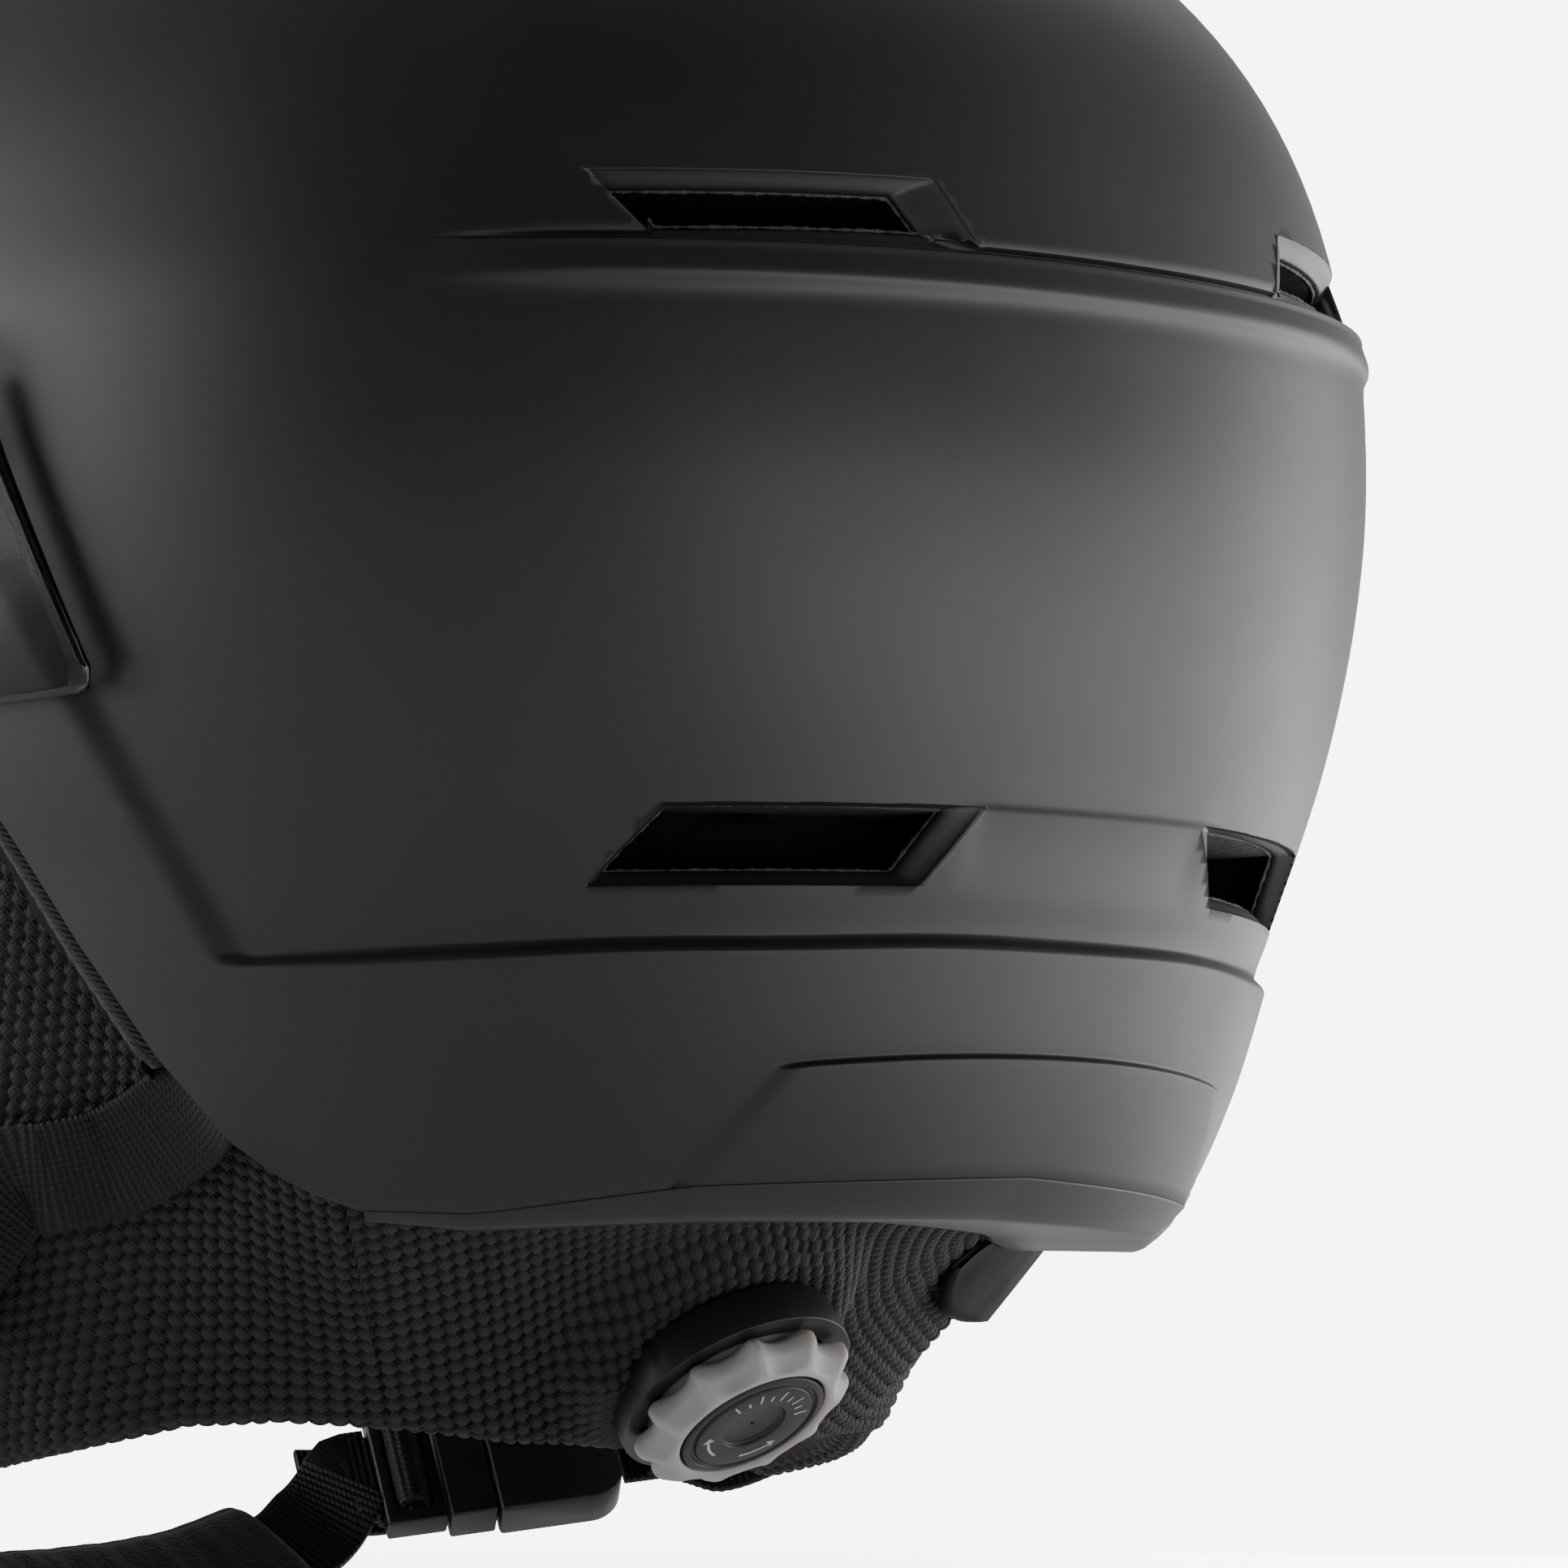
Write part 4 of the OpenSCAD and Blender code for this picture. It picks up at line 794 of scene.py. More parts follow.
@dataclass(frozen=True)
class Vent:
    """One slanted vent: a recess with a bevelled wall, a foam throat and an end, both made near black as
    painted shade.
    """

    level: Level
    side: int
    recess: tuple[tuple[float, float], ...]
    hole: tuple[tuple[float, float], ...]
    recess_depth: float = 2.6
    throat: float = 13.0

    def outline(self, corners: Sequence[tuple[float, float]], grow: float = 0.0,
                soft: float = 0.9) -> Array:
        """The rounded outline through corners of angle and height, on the wearer's own side.

        Args:
            corners: Angle and height of each corner.
            grow: How far to move each corner away from the middle, in millimetres.
            soft: Where the rounding of each corner starts, in millimetres.
        Returns:
            Angles and heights.
        """
        c = np.array(corners, float)
        arc = SHELL_FORM.rear * math.pi / 180
        flat = np.stack([c[:, 0] * arc, c[:, 1]], 1)
        flat = flat + unit(flat - flat.mean(0)) * grow
        flat = fillet(flat, [soft] * len(flat), 5)
        near = np.roll(flat, -1, 0)
        share = np.linspace(0, 1, 9)[None, :-1, None]
        flat = (flat[:, None] + (near - flat)[:, None] * share).reshape(-1, 2)
        return np.stack([flat[:, 0] / arc * self.side, flat[:, 1]], 1)

    def cutter(self, grow: float, out: float, inwards: float) -> Piece:
        """A wedge through the wall, from its outline a way outside the skin to a way inside it."""
        line = self.outline(self.recess, grow)
        q = SKIN.radius(line[:, 0], line[:, 1])
        rings = np.stack([polar(q + out, *line.T), polar(q - inwards, *line.T)])
        return tube("cutter", rings)

    def named(self, part: str) -> str:
        """Name of one of the vent's pieces."""
        return f"vent_{part}_{self.level.value}_{'left' if self.side > 0 else 'right'}"

    def frame_piece(self) -> Piece:
        """The recess: loops from the skin down a soft bevel to the hole, and a short wall into it."""
        outer, inner = self.outline(self.recess), self.outline(self.hole, soft=0.6)
        d = self.recess_depth
        share = ((0.0, 0.0), (0.05, 0.3), (0.2, 0.75), (0.5, 1.35), (0.8, 1.95), (0.96, d - 0.25), (1.0, d),
                 (1.0, d + 0.8), (0.7, d + 1.3), (-0.06, d + 1.3), (-0.06, 0.6))
        loops = np.stack([SKIN.point(*mix(outer, inner, s).T, np.full(len(outer), d)) for s, d in share])
        return ring(self.named("frame"), loops)

    def throat_piece(self) -> Piece:
        """The foam throat: a wall that widens inwards from the hole, near black as painted shade."""
        depths = np.linspace(self.recess_depth + 0.3, self.throat, 7)
        flare = 0.05 + 3.4 * ease(depths, depths[0], depths[0] + 5)
        loops = [self.loop(grow, d) for grow, d in zip(flare, depths)]
        loops += [self.loop(5.0, self.throat + 0.5), self.loop(2.5, self.recess_depth + 1.6)]
        return ring(self.named("throat"), np.stack(loops))

    def loop(self, grow: float, depth: float) -> Array:
        """The hole's outline grown and sunk by a depth."""
        line = self.outline(self.hole, grow, 0.6)
        return SKIN.point(*line.T, np.full(len(line), depth))

    def bead_piece(self) -> Piece:
        """The torn foam edge that shows round the hole: a thin ring whose radius waves unevenly."""
        path = self.loop(-0.15, self.recess_depth + 0.75)
        path = evenly(np.vstack([path, path[:1]]), 0.35)[0][:-1]
        k = np.arange(len(path))
        q = 0.24 + 0.07 * np.sin(k * 0.9) + 0.06 * np.sin(k * 0.23 + 2) + 0.05 * np.sin(k * 2.3 + 1)
        way = unit(np.roll(path, -1, 0) - np.roll(path, 1, 0))
        out = unit(path * np.array([1.0, 1.0, 0.0]))
        side = np.cross(way, out)
        turn = np.linspace(0, 2 * np.pi, 8, endpoint=False)[None, :, None]
        round_path = np.cos(turn) * out[:, None] + np.sin(turn) * side[:, None]
        return ring(self.named("bead"), path[:, None] + q[:, None, None] * round_path)

    def end_piece(self) -> Piece:
        """A near-black dished plate at the bottom of the throat: painted shade for the dark inside of the
        vent.
        """
        line = self.outline(self.hole, 4.5, 0.6)
        mid = line.mean(0)
        loops = [SKIN.point(*mix(mid, line, s).T, np.full(len(line), self.throat + 1.4 - 1.2 * s * s))
                 for s in (0.02, 0.4, 0.8, 1.0)]
        deep = np.full(len(line), self.throat + 3.4)
        back = [SKIN.point(*mix(mid, line, s).T, deep) for s in (1.0, 0.5, 0.02)]
        return tube(self.named("end"), np.stack(loops + back))


UPPER = (((37.8, 133.2), (15.9, 133.6), (13.3, 124.3), (33.9, 124.3)), ((36.9, 131.3), (18.5, 131.8),
         (16.2, 124.7), (34.0, 124.6)))
LOWER = (((37.2, 42.1), (32.3, 52.7), (10.3, 53.5), (14.3, 43.0)), ((36.2, 43.3), (32.1, 51.6),
         (12.9, 52.3), (15.8, 44.0)))
VENTS = [Vent(level, side, *shape) for level, shape in ((Level.UPPER, UPPER), (Level.LOWER, LOWER))
         for side in (1, -1)]


@dataclass
class Shell:
    """The hard shell, its rim, its vents and the foam in it."""

    wall: float = 2.2
    strip_step: float = 0.5

    def columns(self) -> Array:
        """Angles of the grid: close together where the strip stands, wider elsewhere."""
        half = np.concatenate([np.arange(0, 50, 0.8), np.arange(50, 84, self.strip_step),
                               np.arange(84, 180, 1.6)])
        return np.concatenate([half, 360 - half[:0:-1]])

    def heights(self, a: Array) -> Array:
        """Heights of the rows at each angle. They crowd at the creases, above the lower edge.

        Args:
            a: Angles of the columns.
        Returns:
            Heights, one row of them for each column.
        """
        low = edge_z(a) + fold_h(a) + 0.1
        crease, panel = SKIN.crease_z(a), SKIN.panel_z(a)
        stops = [low, panel - 0.7, panel + 0.6, crease - 0.3, crease + 2.3]
        stops += [np.full_like(a, stop) for stop in (52.8, 54.2, 115, 123.2, 125, 135)]
        counts = (9, 6, 8, 10, 11, 6, 26, 16, 13, 7)
        rows = [mix(b[:, None], c[:, None], (np.arange(n) / n)[None, :])
                for b, c, n in zip(stops, stops[1:], counts)]
        form = SHELL_FORM
        start = math.asin(((135 - form.belt) / form.crown) ** (form.dome / 2))
        level = np.linspace(start, math.pi / 2, 34)[:-1]
        dome = form.belt + form.crown * np.sin(level) ** (2 / form.dome)
        rows.append(np.broadcast_to(dome, (len(a), len(dome))))
        z = np.concatenate(rows, 1)
        floor = low[:, None] + 0.14 * np.arange(z.shape[1])[None, :]
        return np.maximum(z, floor)

    def build_shell(self) -> None:
        """The shell's wall: the creased skin outside and the plain form inside, joined round the edge."""
        a = self.columns()
        z = self.heights(a)
        outside = SKIN.point(np.broadcast_to(a[:, None], z.shape), z)
        low = z[:, :1]
        zi = mix(low, 135.0, np.linspace(0, 1, 16)[None, :])
        over = 135 + 58 * np.sin(np.linspace(0.1, 1.5, 10))
        zi = np.concatenate([zi, np.broadcast_to(over, (len(a), 10))], 1)
        trim = curve(zi, TRIM_LINE)
        qi = SHELL_FORM.radius(a[:, None], np.minimum(zi, 199)) * trim - self.wall
        inside = polar(np.maximum(qi, 1), a[:, None], zi)
        n, m, k = len(a), z.shape[1], zi.shape[1]
        poles = np.array([[0, 0, 199.8], [0, 0, 195.6]])
        i = np.arange(n)
        j = (i + 1) % n
        base = n * m
        strip = np.stack([j * m, i * m, base + i * k, base + j * k], 1)
        top = np.stack([i * m + m - 1, j * m + m - 1, np.full(n, base + n * k)], 1)
        under = np.stack([base + j * k + k - 1, base + i * k + k - 1, np.full(n, base + n * k + 1)], 1)
        four = np.vstack([quads(n, m, True), quads(n, k, True)[:, ::-1] + base, strip])
        shell = make("shell", np.vstack([outside.reshape(-1, 3), inside.reshape(-1, 3), poles]), four,
                     np.vstack([top, under]))
        cut(shell, [v.cutter(0.02, 6, 9) for v in VENTS])
        shell.data.shade_smooth()
        dress(shell, SHELL_BLACK, "helmet", "shell_black", "outer_shell")

    def build_rim(self) -> None:
        """The rim: a profile from the fold under the tail to the mouth, carried round the rear."""
        a = np.linspace(-53.5, 53.5, 190)
        z, f = edge_z(a), fold_h(a)
        top = SKIN.radius(a, z + f + 0.1)
        q = mouth_r(a)
        drop = np.clip(f / 5.2, 0.12, 1)
        lines = [(top - 0.02, z + f + 0.06), (top - 0.35 * drop, z + f - 0.35 * drop),
                 (top - 2.9 * drop, z + f * 0.45), (top - 5.0 * drop, z + f * 0.14),
                 (top - 6.4 * drop, z - 0.15), (top - 8.4 * drop, z - 0.3), (q + 1.5, z),
                 (q + 0.2, z + 0.6), (q, z + 1.6), (q + 1, z + 2.3), (top - 7.5 * drop, z + 2.2),
                 (top - 3.4, z + f * 0.75 + 0.6), (top - 1.9, z + f)]
        sections = np.stack([polar(r, a, h) for r, h in lines], 1)
        rim = tube("rim", sections)
        rim.data.shade_smooth()
        dress(rim, SHELL_BLACK, "helmet", "rim_black", "lower_rim")

    def build_vents(self) -> None:
        """The recess, throat, torn foam edge and end of each vent."""
        for vent in VENTS:
            dress(vent.frame_piece(), SHELL_BLACK, "helmet", "shell_black")
            # The throat and the end are near black: painted shade inside the vent.
            dress(vent.throat_piece(), VENT_SHADE_FOAM, "helmet", "liner_foam")
            dress(vent.bead_piece(), BEAD, "helmet", "liner_foam")
            dress(vent.end_piece(), VENT_SHADE_FOAM, "helmet", "liner_foam")

    def build(self) -> None:
        """Builds and dresses the pieces."""
        self.build_shell()
        self.build_rim()
        self.build_vents()


# ---- Lining ----
KNIT_LOW_LINE: Table = ((0, 36), (22, 38), (46, 44), (60, 50), (70, 60), (80, 67), (92, 77), (103, 81),
                        (118, 82))
KNIT_POWER_LINE: Table = ((0, 0.4), (22, 0.45), (35, 0.6), (46, 0.85), (60, 1.05), (80, 1.1), (95, 1.4),
                          (180, 1.5))
MOUTH_GAP_LINE: Table = ((0, 0.5), (35, 0.5), (45, 1.5), (52, 2.5), (58, 2.7), (64, 1.5), (70, 0.5),
                         (180, 0.5))
PAD_LOW_LINE: Table = ((0, -1.5), (38, -1), (60, -2.6), (70, -4.2), (80, -4.2), (92, -0.9), (103, 1.5),
                       (110, -1), (115, -7), (118, -14))
PAD_TOP_LINE: Table = ((0, 0), (88, 0), (95, -30), (105, -68), (112, -90), (118, -103))
EAR_DROP = 30.0
ROLL_END = 57.0
EAR_END = 117.0
DIAL_AT = np.array([0.0, 53.3, -25.6])
DIAL_X = np.array([1.0, 0.0, 0.0])
DIAL_Y = np.array([0.0, -math.sin(math.radians(54)), -math.cos(math.radians(54))])
DIAL_N = np.array([0.0, math.cos(math.radians(54)), -math.sin(math.radians(54))])


def knit_r(a: Array, z: Array) -> Array:
    """Outer radius of the knit, from its low edge to the mouth: 1 less a power of the share above."""
    t = turn_of(a)
    u = np.clip((z + EAR_DROP) / (edge_z(a) + 1 + EAR_DROP), 0, 1)
    top = mouth_r(a) - curve(t, MOUTH_GAP_LINE)
    return mix(curve(t, KNIT_LOW_LINE), top, 1 - (1 - u) ** curve(t, KNIT_POWER_LINE))


def knit_low(a: Array) -> Array:
    """Height of the knit's lower edge."""
    return -EAR_DROP - table(turn_of(a), PAD_LOW_LINE)


def knit_high(a: Array) -> Array:
    """Height of the knit's top, inside the mouth."""
    t = turn_of(a)
    return edge_z(a) + np.where(t < ROLL_END, 1.6, -0.2) + table(t, PAD_TOP_LINE)


@dataclass
class Knit:
    """The ear pads and the neck roll: a padded skin with one waffle knit that runs on from piece to piece.

    The waffle's place is worked out on the unrolled skin, so that its cells keep their size: the lower
    edge is laid out with the turn that a cone of the same slope unrolls by, and a point lies its own
    length off that edge.
    """

    pitch_u: float = 2.6
    pitch_v: float = 3.6
    knob_r: float = 1.18
    bump: float = 0.95
    tuck: float = 2.4
    rear_t: float = 6.5
    side_t: float = 8.6
    pocket_s: float = -9.0
    pocket_r: float = 17.8

    def profile(self, a: Array, rows: int) -> tuple[Array, Array]:
        """The outer skin's profile at each angle, from its top to its low edge at even steps of its length.

        Args:
            a: Angles of the columns.
            rows: Places along each profile.
        Returns:
            Radius and height of each place, and each profile's length.
        """
        z = mix(knit_high(a)[:, None], knit_low(a)[:, None] + self.tuck,
                np.linspace(0, 1, 160)[None, :] ** 2)
        line = np.stack([knit_r(a[:, None], z), z], -1)
        steps = np.linalg.norm(np.diff(line, axis=1), axis=2)
        run = np.concatenate([np.zeros((len(a), 1)), np.cumsum(steps, 1)], 1)
        at = run[:, -1:] * np.linspace(0, 1, rows)[None, :]
        even = np.stack([[np.interp(at[i], run[i], line[i, :, k]) for k in (0, 1)] for i in range(len(a))])
        return even.transpose(0, 2, 1), run[:, -1]

    def unrolled(self, a: Array, s: Array) -> Array:
        """Place on the unrolled skin of points at an angle and a length above the lower edge.

        Args:
            a: Angles of the columns.
            s: Lengths above the edge, one row of them for each column.
        Returns:
            Two numbers for each point, in millimetres.
        """
        dense = np.linspace(0, EAR_END, 400)
        line, length = self.profile(dense, 3)
        step = np.radians(dense[1] - dense[0])
        turn = np.cumsum((line[:, 0, 0] - line[:, -1, 0]) / length) * step
        edge = np.cumsum(line[:, -1, :1] * np.stack([np.cos(turn), np.sin(turn)], 1), 0) * step
        t = turn_of(a)
        here = np.stack([np.interp(t, dense, edge[:, k]) for k in (0, 1)], 1)
        phi = np.interp(t, dense, turn)
        return here[:, None] + s[..., None] * np.stack([np.sin(phi), -np.cos(phi)], 1)[:, None]

    def wave(self, place: Array) -> Array:
        """Height of the waffle, from -1 to 0: half spheres on two interleaved lattices of points."""
        near = np.full(place.shape[:-1], 9.0)
        for shift in (0.0, 0.5):
            u, v = place[..., 0] / self.pitch_u - shift, place[..., 1] / self.pitch_v - shift
            u, v = (u - np.round(u)) * self.pitch_u, (v - np.round(v)) * self.pitch_v
            near = np.minimum(near, u ** 2 + v ** 2)
        return np.sqrt(np.clip(1 - near / self.knob_r ** 2, 0, 1)) - 1

    def pocketed(self, points: Array) -> Array:
        """Points pushed back along the dial's axis where its collar sits, easing off round it."""
        local = points - DIAL_AT
        s = local @ DIAL_N
        r = np.linalg.norm(local - s[..., None] * DIAL_N, axis=-1)
        push = (np.clip(s - self.pocket_s, 0, 9) * (1 - ease(r, self.pocket_r, self.pocket_r + 5))
                + np.clip(s - self.pocket_s, -5, 0) * (1 - ease(r, self.pocket_r, self.pocket_r + 9)))
        return points - push[..., None] * DIAL_N

    def build_piece(self, name: str, start: float, end: float, flip: bool, columns: int,
                    rows: int) -> tuple[Piece, Piece]:
        """One padded piece: waffled outside, rounded lower edge, plain inside and brushed lining.

        Args:
            name: Name of the piece.
            start: Angle of its rear end.
            end: Angle of its front end.
            flip: Whether it lies on the right.
            columns: Places from end to end.
            rows: Places down its outside.
        Returns:
            The padded piece and its lining.
        """
        a = np.linspace(start, end, columns)
        line, length = self.profile(a, rows)
        slope = unit(np.gradient(line, axis=1))
        out = np.stack([-slope[..., 1], slope[..., 0]], -1)
        t = mix(self.rear_t, self.side_t, ease(turn_of(a), 30, 70))
        t = t * mix(1.0, 0.6, ease(turn_of(a), 108, EAR_END))
        arc = np.linspace(0, np.pi, 20)[1:-1]
        half = (t / 2)[:, None]
        place = self.unrolled(a, length[:, None] * np.linspace(1, 0, rows)[None])
        under = self.unrolled(a, -half * arc[None])
        tip = (1 - ease((end - np.abs(a)) * 1.4, 0, 4.5)) if end > 100 else np.zeros_like(a)
        knobs = self.wave(place)
        rise = knobs * self.bump - (tip ** 2 * t * 0.45)[:, None]
        outer = line + out * rise[..., None]
        foot, away, down = line[:, -1], out[:, -1], slope[:, -1]
        way = away[:, None] * np.cos(arc)[None, :, None] + 0.9 * down[:, None] * np.sin(arc)[None, :, None]
        folds = self.wave(under) * ease(np.pi - arc, 0.3, 1.6)[None]
        bend = (foot - away * half)[:, None] + way * (half + folds * self.bump)[..., None]
        inner = (line - out * (t * (1 - 0.5 * tip))[:, None, None])[:, ::-4]
        lid = (edge_z(a) + 2.0)[:, None]
        inner = np.stack([inner[..., 0], np.minimum(inner[..., 1], lid)], -1)
        top = mix(inner[:, -1:], outer[:, :1], np.array([0.33, 0.66])[None, :, None])
        loop = np.concatenate([outer, bend, inner, top], 1)
        uv = np.concatenate([place, under, place[:, ::-4], place[:, :1], place[:, :1]], 1)
        sign = -1 if flip else 1
        points = polar(loop[..., 0], sign * a[:, None], loop[..., 1])
        if start < 0:
            points = self.pocketed(points)
        pad = tube(name, points, uv)
        plain = np.full((columns, inner.shape[1] + 2), 0.5)
        # The knob heights, kept as rise, darken the gaps between the knobs in the knit's colour: painted
        # shade.
        mark(pad, np.concatenate([1 + knobs, 1 + folds, plain], 1))
        part = slice(2, inner.shape[1] - 2)
        low = inner[:, part] - out[:, ::-4][:, part] * 0.08
        high = low - out[:, ::-4][:, part] * 1.1
        loop = np.concatenate([high, low[:, ::-1]], 1)[1:-1]
        lining = tube(f"{name}_lining", polar(loop[..., 0], sign * a[1:-1, None], loop[..., 1]))
        return pad, lining

    def build(self) -> None:
        """Builds the two ear pads, then the neck roll."""
        ear = (ROLL_END + 0.03, EAR_END)
        for node, (start, end), flip, columns in (("ear_pad_left", ear, False, 250),
                                                  ("neck_roll", (-ROLL_END, ROLL_END), False, 400),
                                                  ("ear_pad_right", ear, True, 250)):
            pad, lining = self.build_piece(f"{node}_knit", start, end, flip, columns, 170)
            dress(pad, KNIT, "helmet", "knit_fabric", node)
            dress(lining, GREY_LINING, "helmet", "lining_fabric")


@dataclass
class Lining:
    """The foam liner and the comfort pads in it, the seal at the brow and the loose tab on the right."""

    pad_gap: float = 0.8
    pad_t: float = 5.0

    def pad(self, name: str, a0: float, a1: float, z0: float, z1: float, shape: float = 5.0) -> Piece:
        """A pad on the liner: its thickness falls off to its edge as a superellipse.

        Args:
            name: Name of the piece.
            a0: Angle where it starts.
            a1: Angle where it ends.
            z0: Its low height.
            z1: Its high height.
            shape: Power of the outline.
        Returns:
            The pad.
        """
        turn = np.linspace(0, 2 * np.pi, 96, endpoint=False)
        c, s = np.cos(turn), np.sin(turn)
        edge_u, edge_v = (np.sign(w) * np.abs(w) ** (2 / shape) for w in (c, s))
        share = np.concatenate([np.linspace(0.04, 0.9, 13), [0.94, 0.97, 0.99, 1.0]])
        u, v = share[:, None] * edge_u[None], share[:, None] * edge_v[None]
        a, z = mix(a0, a1, (u + 1) / 2), mix(z0, z1, (v + 1) / 2)
        puff = np.clip(1 - share ** 6, 0, 1) ** 0.5 * (1 - 0.28 * np.exp(-((share - 0.78) / 0.035) ** 2))
        base = HEAD_FORM.radius(a, z) - self.pad_gap
        inner = base - (0.7 + (self.pad_t - 0.7) * puff)[:, None]
        rings = np.concatenate([polar(inner, a, z), polar(base, a, z)[::-1]])
        return tube(name, rings)

    def crown(self) -> Piece:
        """The crown pad: a dome with six sewn channels that run down from its middle."""
        a = np.linspace(0, 360, 180, endpoint=False)
        share = np.linspace(0.02, 1, 34)
        level = np.radians(mix(90.0, 53.0, share))
        f = HEAD_FORM.inset(self.pad_gap)
        z = f.belt + f.crown * np.sin(level) ** (2 / f.dome)
        q = f.reach(a[:, None]) * np.cos(level)[None] ** (2 / f.dome)
        channel = np.exp(-(np.sin(np.radians(a * 3)) * 3.2) ** 2)[:, None] * ease(share, 0.1, 0.3)[None]
        puff = np.clip(1 - share ** 8, 0, 1)[None] ** 0.5 * (1 - 0.5 * channel)
        t = 0.8 + 4.0 * puff
        drop = np.sin(level)[None]
        inside = polar(q - t * np.cos(level)[None], a[:, None], z[None] - t * drop)
        outside = polar(q, a[:, None], np.broadcast_to(z, q.shape))
        rings = np.concatenate([inside, outside[:, ::-1]], 1).transpose(1, 0, 2)
        return tube("crown_pad_cloth", rings)

    def build(self) -> None:
        """Builds the pads and dresses the liner."""
        for part in ("crown", "rear_left", "rear_right", "side_left", "side_right", "front_left",
                     "front_right"):
            hard_part(f"foam_{part}", FOAM, "helmet", "liner_foam", 0.6)
        pieces = [(self.crown(), "crown_pad"), (self.pad("brow_pad_cloth", 128, 232, 103, 124), "brow_pad"),
                  (self.pad("side_pad_left_cloth", 52, 118, 102, 136), "side_pad_left"),
                  (self.pad("side_pad_right_cloth", -52, -118, 102, 136), "side_pad_right")]
        for piece, node in pieces:
            dress(piece, LINING, "helmet", "lining_fabric", node)
        hard_part("brow_seal", RUBBER, "helmet", "seal_rubber", 0.4)
        self.build_tab()

    def build_tab(self) -> None:
        """The loose tab of lining on the right: a tongue between two heights, thin at its edge."""
        share = np.linspace(0, 1, 40)
        a = mix(-70.0, -43.0, share)
        low = curve(share, ((0, -3.5), (0.15, -8), (0.4, -9.8), (0.7, -9.9), (0.88, -8), (1, -3)))
        v = np.linspace(0, 1, 14)
        z = mix(low[:, None], 3.2, v[None])
        lift = 0.5 + mix(4.4, 2.6, v)[None] * np.sin(np.pi * np.clip(share, 0.02, 0.98))[:, None] ** 0.4
        q = knit_r(a[:, None], z)
        outside = polar(q + lift, a[:, None], z)
        inside = polar(q + np.maximum(lift - 1.6, 0.3), a[:, None], z)
        tab = sheet("lining_tab_right", outside, inside)
        dress(tab, SMOOTH_LINING, "helmet", "lining_fabric", "ear_flap_right")


# ---- Visor ----
LENS_LOW_LINE: Table = ((70, 68), (78, 67), (92, 67), (104, 61), (118, 41), (132, 21), (148, 10.5),
                        (160, 12), (170, 22), (176, 32), (180, 34))
LENS_TOP_LINE: Table = ((72, 113), (86, 119), (98, 123), (180, 124))


